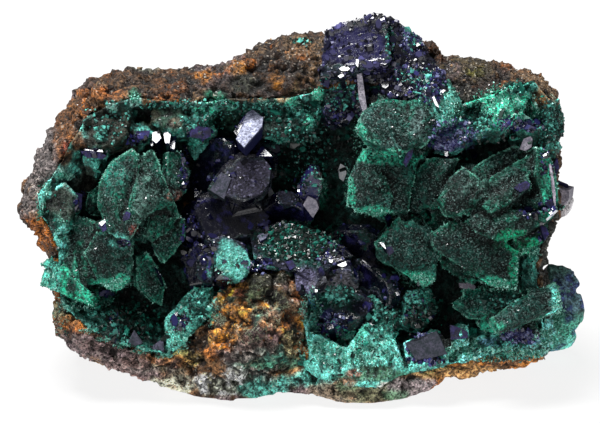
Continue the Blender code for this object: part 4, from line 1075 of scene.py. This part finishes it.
def plant(name, form, places, normal, seed, sizes, material, slot, lean, sink=0.1, colour=None, turned=0.0):
    """Sets one small crystal at each place, standing on the surface there or turned to the lamp."""
    count = len(places)
    draw = np.random.default_rng(seed)
    halfway = (Vector(LAMP).normalized() + Vector(FACE_OUT)).normalized()
    direction = normal * (1 - turned) + np.array(halfway) * turned + lean * draw.normal(size=normal.shape)
    axes = frames_along(direction, draw)
    scale = draw.lognormal(0, 0.35, (count, 1))
    spread = draw.uniform(0.75, 1.3, (count, 3))
    places = places - normal * sink
    data = swarm(name, form, places, axes, np.array(sizes)[None, :] * scale * spread)
    corners = len(form[0])
    add_values(data, "shade", np.repeat(draw.random(count) ** 1.5, corners))
    if colour is not None:
        add_colours(data, np.repeat(colour(places, draw), corners, axis=0))
    return finish_piece(name, data, material, None, smooth=False)


def scatter(name, form, source, count, seed, sizes, material, slot, weigh=None, *others, **settings):
    """Plants small crystals all over a piece, thicker where the weight is higher."""
    places, normal = surface_places(source.data, count, seed, weigh)
    return plant(name, form, places, normal, seed + 1, sizes, material, slot, *others, **settings)


def front_trees(pieces):
    """What a ray from the front can meet, piece by piece."""
    meshes = [piece.data for piece in pieces]
    return [BVHTree.FromPolygons([v.co for v in data.vertices], [f.vertices for f in data.polygons])
            for data in meshes]


def met(x, y):
    """The nearest surface point behind a pixel with its normal, or None where there is none."""
    start = on_face(x, y, 30.0)
    hits = [tree.ray_cast(start, -Vector(FACE_OUT)) for tree in FRONT]
    hits = [hit for hit in hits if hit[0] is not None]
    return min(hits, key=lambda hit: hit[3])[:2] if hits else None


def patch_places(patches, seed, share):
    """Random places on the surfaces behind oval patches of x, y, half width, half height and count."""
    draw = np.random.default_rng(seed)
    found = []
    for x, y, wide, high, count in patches:
        for _ in range(int(count * share)):
            angle = draw.uniform(0, 2 * math.pi)
            far = math.sqrt(draw.random()) * draw.uniform(0.7, 1.15)
            hit = met(x + wide * far * math.cos(angle), y + high * far * math.sin(angle))
            if hit:
                found.append(hit)
    return np.array([p for p, _ in found]) / MM, np.array([n for _, n in found])


def set_faces(name, outlines, shines, material, seed):
    """Flat crystals whose front face has an outline of pixels, x and y in turn, set on what lies behind."""
    draw = np.random.default_rng(seed)
    toward = Vector(FACE_OUT)
    points, triangles, shade, front = [], [], [], []
    for outline in outlines:
        outline = list(zip(outline[::2], outline[1::2]))
        x, y = (sum(p[k] for p in outline) / len(outline) for k in range(2))
        centre = met(x, y)
        if centre is None:
            continue
        if shines:
            up = ((Vector(LAMP) - centre[0]).normalized() + toward).normalized()
        else:
            up = (centre[1] * 0.35 + toward + Vector(draw.normal(0, 0.12, 3))).normalized()
        steep = up.dot(toward)
        depths, gaps = [], []
        for px, py in outline + [(x, y)]:
            flat = on_face(px, py, 0.0)
            depth = (centre[0] - flat).dot(up) / steep
            behind = met(px, py)
            surface = (behind[0] - flat).dot(toward) if behind else depth
            depths.append((flat, depth))
            gaps.append(depth - surface)
        lift = min(max(-min(gaps), 0.0), 1.6 * MM) + 0.08 * MM
        thick = (min(max(gaps), 2.2 * MM) + lift) * steep + 0.35 * MM
        top = [flat + toward * (depth + lift) for flat, depth in depths[:-1]]
        count = len(top)
        triangles += [[len(points) + k for k in corners] for corners in prism_triangles(count)]
        points += [np.array(p) / MM for p in top]
        points += [np.array(p - up * thick) / MM for p in top]
        shade += [draw.uniform(0.4, 1.0)] * (2 * count)
        front += [1.0] * count + [0.0] * count
    data = build_mesh(name, np.array(points), np.array(triangles))
    add_values(data, "shade", np.array(shade))
    add_values(data, "top", np.array(front))
    work = bmesh.new()
    work.from_mesh(data)
    bmesh.ops.recalc_face_normals(work, faces=work.faces)
    work.to_mesh(data)
    work.free()
    return finish_piece(name, data, material, None, smooth=False)


rock = dress_rock()
lining = dress_crust()
rosette = dress_fans("malachite_rosette", "rosette_blades", 200, (140, 232, -7), 50, 0.4)
centre_fans = dress_fans("malachite_centre_fans", "centre_blades", 220, (405, 195, -8), 40, 0.7)
right_fans = dress_fans("malachite_right_fans", "right_blades", 240, (480, 205, -9), 60, 0.35)
lower_blades = dress_fans("malachite_lower_blades", "lower_right_blades", 260, (560, 315, -8), 20, 0.65)
azurite = dress_azurite("azurite_cluster", "azurite_crystals", 300)
tower = dress_azurite("azurite_tower", "azurite_tower_crystals", 320)
side_crystal = dress_azurite("azurite_side_crystal", "side_azurite", 340)
lobe = dress_lobe()


# Where the small crystals sit

DARK_WALLS = (
    (300, 160, 60, 55, 1.0), (130, 325, 40, 25, 1.0), (500, 150, 45, 25, 0.8), (385, 315, 60, 25, 0.8),
)


def wall_weight(centre, normal):
    """Weighs the lining's dark walls, on the side that faces out."""
    x, y, out = face_of(centre)
    dark = 0.0
    for middle_x, middle_y, wide, high, share in DARK_WALLS:
        dark += share * np.exp(-((x - middle_x) / wide) ** 2 - ((y - middle_y) / high) ** 2)
    return facing(normal, -0.1, 0.4) * (0.08 + dark)


def green_of(data, low):
    return ramp(numbers(data.attributes["tint"].data, "color", 4)[:, 1], low, 0.2)


def bright_weight(piece):
    """Weighs each triangle of the lining by how bright it is, on the side that faces out."""
    each = green_of(piece.data, 0.05)[corners_of(piece.data)].mean(axis=1) + 0.02
    return lambda centre, normal: each * facing(normal, -0.2, 0.3)


def edge_weight(piece):
    """Weighs each triangle of a spray by how much it lies on a blade's edge."""
    value = values_of(piece.data, "rim") ** 2 * (0.25 + 2.0 * green_of(piece.data, 0.03))
    each = value[corners_of(piece.data)].mean(axis=1) + 0.0005
    return lambda centre, normal: each * facing(normal, -0.4, 0.1)


# Patches of small crystals: x, y, half width, half height and count
BLUE_PATCHES = [
    (430, 92, 16, 14, 160), (136, 139, 9, 7, 90), (93, 153, 13, 4, 60), (79, 201, 5, 9, 50),
    (123, 243, 7, 5, 30), (107, 293, 6, 4, 20), (200, 132, 12, 6, 70), (184, 170, 5, 24, 90),
    (190, 235, 12, 22, 120), (337, 112, 14, 11, 110), (410, 80, 30, 18, 260), (520, 126, 26, 6, 110),
    (545, 160, 6, 14, 40), (542, 232, 4, 9, 30), (180, 322, 9, 9, 130), (206, 256, 10, 16, 70),
    (335, 327, 16, 14, 160), (300, 190, 8, 14, 50), (262, 225, 10, 6, 30), (335, 255, 18, 12, 50),
    (420, 315, 20, 14, 40), (428, 360, 20, 4, 70), (264, 262, 9, 5, 40), (522, 335, 22, 7, 110),
    (118, 326, 12, 14, 60), (400, 300, 30, 20, 40), (555, 168, 5, 10, 25), (548, 205, 8, 8, 40),
    (528, 214, 14, 5, 50),
]
FUR_PATCHES = [
    (428, 92, 17, 18, 420), (332, 324, 10, 9, 160), (571, 335, 10, 14, 200), (570, 300, 8, 20, 60),
    (350, 350, 52, 20, 3600), (232, 266, 17, 17, 420), (63, 176, 11, 3, 300), (47, 188, 5, 7, 240),
    (40, 205, 7, 20, 260), (45, 285, 14, 22, 600), (78, 306, 20, 6, 300), (63, 232, 7, 13, 300),
    (115, 284, 16, 6, 600), (420, 281, 18, 8, 600), (446, 106, 15, 22, 900), (505, 106, 34, 22, 2600),
    (480, 130, 5, 9, 300), (500, 286, 20, 7, 600), (530, 252, 12, 6, 300), (560, 308, 5, 24, 900),
    (480, 354, 66, 8, 2600), (550, 340, 20, 14, 1300), (520, 352, 34, 5, 1500), (562, 318, 6, 16, 600),
    (552, 185, 3, 20, 200), (545, 336, 12, 9, 500), (465, 344, 16, 8, 700), (518, 272, 3, 16, 240),
    (412, 34, 9, 9, 160), (439, 76, 6, 9, 120), (177, 338, 13, 17, 1000), (311, 312, 12, 24, 1200),
    (214, 104, 7, 7, 250), (197, 112, 6, 6, 200), (318, 94, 6, 8, 240), (296, 106, 9, 7, 260),
    (228, 106, 9, 5, 160), (134, 98, 5, 6, 160), (112, 109, 5, 4, 90), (358, 135, 6, 26, 350),
    (348, 185, 5, 28, 300), (375, 213, 24, 4, 300), (322, 188, 5, 12, 200), (212, 312, 6, 18, 400),
    (88, 331, 9, 3, 220), (103, 339, 9, 3, 240), (122, 346, 10, 3, 260), (143, 351, 12, 3, 300),
    (164, 356, 9, 3, 260), (60, 318, 10, 20, 200), (190, 105, 16, 5, 120), (268, 102, 16, 4, 160),
]
GREEN_PATCHES = [
    (112, 120, 28, 22, 260), (101, 136, 6, 6, 70), (200, 124, 24, 14, 400), (260, 110, 70, 8, 700),
    (190, 104, 60, 5, 600), (300, 150, 36, 40, 900), (342, 96, 18, 14, 500), (475, 120, 18, 18, 500),
    (553, 127, 15, 27, 1300), (200, 305, 14, 20, 700), (510, 352, 46, 10, 600), (518, 88, 14, 8, 220),
    (300, 40, 12, 6, 60), (118, 330, 9, 13, 260), (338, 296, 16, 12, 900), (385, 320, 24, 14, 260),
    (417, 305, 18, 16, 90), (412, 38, 10, 12, 150), (500, 300, 22, 7, 200), (390, 45, 4, 20, 250),
    (425, 85, 14, 16, 500), (408, 74, 16, 8, 180),
]
DARK_PATCHES = [
    (300, 242, 42, 20, 1300), (130, 325, 36, 20, 300), (425, 316, 20, 14, 300),
]
BLUE_BAND = [
    (425, 336, 17, 3, 120), (427, 359, 20, 3, 100), (410, 348, 4, 7, 40), (215, 178, 10, 3, 30),
    (455, 134, 26, 16, 420), (444, 144, 14, 7, 300), (520, 124, 26, 7, 200), (412, 40, 12, 16, 320),
    (440, 78, 7, 10, 160), (434, 88, 12, 16, 260), (520, 337, 18, 7, 420), (332, 326, 16, 14, 200),
    (262, 268, 18, 6, 80), (330, 252, 16, 12, 50),
]
# Outlines of single crystal faces: x and y in turn
BRIGHT_FACES = [
    (255, 156, 262, 145, 272, 156), (194, 187, 198, 190, 201, 195, 194, 197),
    (472, 152, 477, 150, 480, 153, 477, 158, 473, 157), (152, 132, 158, 131, 161, 138, 156, 143, 152, 140),
    (163, 133, 169, 130, 171, 131, 169, 143, 165, 143), (172, 131, 176, 133, 174, 149, 170, 148),
    (149, 140, 153, 142, 152, 146, 149, 144), (427, 154, 431, 154, 431, 158, 427, 158),
    (444, 150, 448, 150, 448, 156, 445, 156), (389, 211, 391, 218, 388, 221, 385, 217),
    (99, 223, 105, 219, 106, 222, 102, 226), (153, 267, 157, 269, 161, 275, 157, 273),
    (174, 313, 178, 312, 176, 318), (379, 242, 384, 243, 386, 249, 383, 247),
    (395, 292, 398, 292, 400, 295, 397, 296), (448, 323, 451, 325, 448, 327),
    (407, 345, 410, 345, 410, 348, 407, 348), (329, 259, 333, 260, 332, 263, 329, 262),
    (315, 289, 318, 290, 317, 292, 315, 292), (330, 311, 334, 314, 331, 315),
    (326, 325, 332, 323, 334, 328, 328, 330), (356, 58, 359, 60, 358, 67, 356, 65),
    (338, 76, 343, 73, 344, 76, 340, 78), (84, 148, 102, 150, 103, 152, 84, 150),
    (432, 96, 434, 96, 437, 103, 439, 108, 435, 105), (440, 92, 445, 88, 446, 90, 441, 95),
]
# Grey faces: their grey is partly a satin shine and partly painted reflection in the base colour.
GREY_FACES = [
    (128, 342, 134, 330, 143, 343, 135, 346), (151, 347, 163, 338, 164, 352, 154, 351),
    (405, 343, 412, 340, 420, 340, 428, 335, 436, 331, 439, 336, 447, 354, 430, 358, 416, 360),
    (210, 190, 221, 172, 231, 178, 226, 192, 224, 199),
]
# Pale faces: partly the crystals' own colour and partly painted reflection; on the side crystal, painted
# light.
PALE_FACES = [
    (357, 74, 362, 73, 367, 108, 363, 112, 359, 100), (303, 205, 308, 196, 316, 200, 319, 208, 313, 218),
    (460, 284, 466, 282, 474, 284, 477, 287, 475, 293, 469, 290, 461, 288),
    (520, 149, 524, 139, 531, 136, 533, 139, 532, 147, 526, 151),
    (549, 164, 551, 163, 554, 178, 556, 194, 556, 206, 554, 206, 553, 182),
    (560, 187, 566, 190, 572, 190, 571, 199, 566, 206, 560, 207, 558, 198),
]
# Painted glare: faces painted white where light glares off the crystals.
PAINTED_GLARE_FACES = [
    (546, 219, 556, 210, 558, 211, 547, 221), (341, 163, 346, 166, 347, 173, 344, 181, 340, 178, 339, 169),
    (268, 192, 271, 188, 273, 192, 272, 196, 268, 196),
]
# Painted glints: faces painted pale blue-white, as light glinting off them, and turned to the lamp as well.
PAINTED_GLINT_FACES = [
    (236, 139, 244, 124, 246, 113, 252, 109, 263, 117, 262, 126, 244, 147),
    (260, 241, 257, 236, 261, 233, 268, 234, 266, 238),
]
BLUE_FACES = [
    (450, 325, 458, 327, 468, 332, 468, 338, 451, 340),
    (514, 188, 518, 184, 526, 181, 530, 184, 528, 189, 520, 192), (545, 203, 552, 199, 555, 205, 549, 209),
    (558, 180, 564, 181, 571, 184, 572, 189, 566, 189, 559, 186),
    (541, 225, 546, 227, 549, 234, 545, 240, 542, 233), (553, 166, 558, 158, 560, 168, 557, 176),
    (75, 193, 82, 194, 81, 208, 76, 206), (123, 217, 127, 211, 131, 213, 130, 219, 124, 221),
    (99, 225, 106, 223, 107, 230, 103, 232), (102, 291, 108, 290, 111, 294, 104, 297),
    (80, 151, 100, 151, 106, 156, 103, 159, 86, 157), (135, 131, 150, 130, 148, 137, 138, 139),
    (189, 131, 197, 126, 210, 128, 211, 136, 205, 139, 190, 137),
    (403, 163, 408, 150, 413, 149, 412, 156, 406, 167), (384, 248, 392, 246, 394, 252, 389, 256),
    (285, 262, 292, 260, 296, 266, 290, 270),
]

blue_druse = druse("azurite_druse", NAVY * 0.8, BLUE * 1.6, 0.18, 0.7)
dark_druse = druse("dark_malachite_druse", BLACK_GREEN * 1.6, GREEN * 3.0, 0.3, 0.5, 3.5)
green_druse = druse("malachite_druse", DEEP_GREEN * 0.8, TURQUOISE * 1.9, 0.35, 0.4, 2.4)
velvet_druse = druse("malachite_needle", DEEP_GREEN * 0.7, tone(100, 150, 138), 0.4, 0.3, 3.2)
bright_druse = druse("malachite_fringe", BRIGHT_GREEN * 0.8, PALE_GREEN * 1.5, 0.35, 0.4, 1.5)
pale_druse = druse("pale_azurite_druse", BLUE * 0.8, tone(150, 158, 204), 0.25, 0.5, 2.4)
tower_druse = druse("azurite_tower_druse", NAVY * 0.8, tone(92, 90, 140), 0.22, 0.6, 2.6)
patch_druse = druse("azurite_patch_druse", NAVY * 0.7, tone(62, 62, 124), 0.2, 0.7, 1.8)
AZURITE, LINING, VELVET = "azurite", "malachite_lining", "malachite_velvet"

scatter("dark_druse_on_lining", CHISEL, lining, 1700, 501, (0.1, 0.2, 0.5), dark_druse,
        LINING, wall_weight, 0.7)
scatter("azurite_druse_on_crystals", BLADE, azurite, 420, 511, (0.5, 0.38, 0.22), blue_druse,
        AZURITE, None, 0.6)
scatter("azurite_druse_on_tower", BLADE, tower, 1500, 521, (0.4, 0.3, 0.3), tower_druse,
        AZURITE, None, 0.5)
scatter("malachite_needles_on_lining", SPIKE, lining, 7000, 531, (0.14, 0.14, 0.24), green_druse,
        LINING, bright_weight(lining), 0.6)
SPRAYS = (
    (rosette, 5600, 3400), (centre_fans, 4800, 3200), (right_fans, 6600, 4200), (lower_blades, 2200, 2000),
)
for k, (piece, needles, fringe) in enumerate(SPRAYS):
    scatter("malachite_needles_%d" % (k + 1), SPIKE, piece, needles, 541 + 10 * k, (0.11, 0.11, 0.2),
            velvet_druse, VELVET, None, 0.8)
    scatter("malachite_fringe_%d" % (k + 1), SPIKE, piece, fringe, 543 + 10 * k, (0.09, 0.09, 0.2),
            bright_druse, VELVET, edge_weight(piece), 0.5)

FRONT = front_trees((rock, lining, rosette, centre_fans, right_fans, lower_blades, azurite, tower,
                     side_crystal, lobe))


def plant_in(patches, share, name, form, seed, *others):
    """Plants small crystals on what lies behind patches, with this share of the patches' counts."""
    plant(name, form, *patch_places(patches, seed, share), seed + 1, *others)


plant_in(BLUE_PATCHES, 1.0, "azurite_druse_in_patches", BLADE, 621, (0.3, 0.2, 0.22), patch_druse,
         AZURITE, 0.6, 0.08)
plant_in(DARK_PATCHES, 1.0, "dark_malachite_druse_in_patches", PEBBLE, 627, (0.24, 0.22, 0.24), dark_druse,
         LINING, 0.7, 0.03)
plant_in(BLUE_BAND, 1.0, "pale_azurite_druse", CHIP, 629, (0.22, 0.16, 0.22), pale_druse,
         AZURITE, 0.6, 0.05)
plant_in(FUR_PATCHES, 0.62, "bright_malachite_fur", SPIKE, 623, (0.12, 0.12, 0.19), bright_druse,
         LINING, 0.7, 0.05)
plant_in(GREEN_PATCHES, 0.5, "green_malachite_druse", PEBBLE, 625, (0.22, 0.2, 0.24), green_druse,
         LINING, 0.7, 0.03)
mirror_face = crystal_faces("bright_azurite", NAVY, BLUE * 0.6, 0.05, 0.3)
# Partly painted reflection: a grey base colour under a satin shine.
satin_face = crystal_faces("grey_azurite", SLATE * 0.12, tone(96, 92, 112), 0.5, 0.7, 0.25)
blue_face = crystal_faces("blue_azurite", tone(10, 9, 34), tone(60, 54, 116), 0.3, 0.6, 0.35)
# Painted glint: a pale blue-white face colour.
painted_glint_face = crystal_faces("painted_glint_azurite", tone(24, 26, 62), tone(200, 206, 236), 0.45, 0.7, 0.3)
# Partly painted reflection: a pale base colour.
pale_face = crystal_faces("pale_azurite", tone(112, 108, 124), tone(214, 206, 220), 0.45, 0.7, 0.3)
# Painted glare: a near-white face colour.
painted_glare_face = crystal_faces("painted_glare_azurite", tone(214, 218, 230), tone(250, 250, 250), 0.3, 0.5, 0.5)
GLINTS = (
    (lining, 700), (azurite, 160), (tower, 200), (rosette, 160), (centre_fans, 140), (right_fans, 160),
    (lower_blades, 60), (lobe, 30), (rock, 300),
)
for k, (piece, count) in enumerate(GLINTS):
    scatter("glints_%d" % (k + 1), CHIP, piece, count, 651 + 10 * k, (0.13, 0.1, 0.1), mirror_face,
            AZURITE, lambda centre, normal: facing(normal, -0.2, 0.3), 0.16, 0.0, turned=0.9)
set_faces("bright_azurite_crystals", BRIGHT_FACES, True, mirror_face, 631)
set_faces("grey_azurite_crystals", GREY_FACES, False, satin_face, 633)
set_faces("blue_azurite_crystals", BLUE_FACES, False, blue_face, 635)
set_faces("painted_glint_azurite_crystals", PAINTED_GLINT_FACES, True, painted_glint_face, 637)
set_faces("pale_azurite_crystals", PALE_FACES, False, pale_face, 639)
set_faces("painted_glare_azurite_crystals", PAINTED_GLARE_FACES, False, painted_glare_face, 641)


def grain_colours(places, draw):
    """Each loose grain takes the rock's colour, or one of its own."""
    count = len(places)
    colours = blended(all_over(DARK_BROWN, places), TAN, draw.random(count) ** 2)
    colours = mottled(colours, places, ORANGE, 5.0, 3, 71, 0.05, 0.3, draw.random(count))
    painted = dab(colours, places, ROCK_PATCHES, 101)
    colours = blended(colours, painted, in_front(face_of(places)[2]) * 0.7)
    return np.clip(colours * draw.uniform(0.3, 1.5, (count, 1)), 0, 0.9)


scatter("rock_grains", PEBBLE, rock, 4200, 601, (0.24, 0.2, 0.18), grain_material(), "limonite_rock",
        lambda centre, normal: ramp(centre[:, 2], 1.2, 3.0), 0.6, 0.02, grain_colours)


# Floor, light and camera

def pale_floor():
    work = bmesh.new()
    bmesh.ops.create_grid(work, x_segments=2, y_segments=2, size=4.0)
    data = bpy.data.meshes.new("floor")
    work.to_mesh(data)
    work.free()
    floor = make_object("floor", data)
    r = Recipe("pale_floor")
    glow = {"Emission Color": (1.0, 1.0, 1.0), "Emission Strength": FLOOR_GLOW}
    data.materials.append(r.finish((0.08, 0.08, 0.08), 0.9, 0.5, **glow))


def softbox(name, place, size, power, aim=(0.0, 0.0, 0.02)):
    lamp = bpy.data.lights.new(name, "AREA")
    lamp.shape = "RECTANGLE"
    lamp.size, lamp.size_y = size
    lamp.energy = power
    thing = make_object(name, lamp)
    thing.location = place
    thing.rotation_euler = (Vector(aim) - Vector(place)).to_track_quat("-Z", "Y").to_euler()


def light_and_camera():
    scene = bpy.context.scene
    scene.view_settings.view_transform = "Standard"
    world = bpy.data.worlds.new("soft_surround")
    scene.world = world
    world.use_nodes = True
    surround = world.node_tree.nodes["Background"].inputs
    surround[0].default_value = (1.0, 1.0, 1.0, 1.0)
    surround[1].default_value = SURROUND_LIGHT
    softbox("overhead_softbox", LAMP, (0.30, 0.26), LAMP_POWER)
    softbox("front_softbox", (-0.30, -0.80, 0.28), (0.7, 0.6), FILL_POWER)

    data = bpy.data.cameras.new("camera")
    data.sensor_width = SENSOR
    data.lens = SENSOR * CAMERA_DISTANCE / FRAME_WIDTH
    data.clip_start = 0.05
    data.clip_end = 20.0
    camera = make_object("camera", data)
    camera.location = on_face(*FRAME_CENTRE, 0.0) + Vector(FACE_OUT) * CAMERA_DISTANCE
    camera.rotation_euler = (math.radians(90) - FACE_TILT, 0.0, 0.0)
    scene.camera = camera


pale_floor()
light_and_camera()
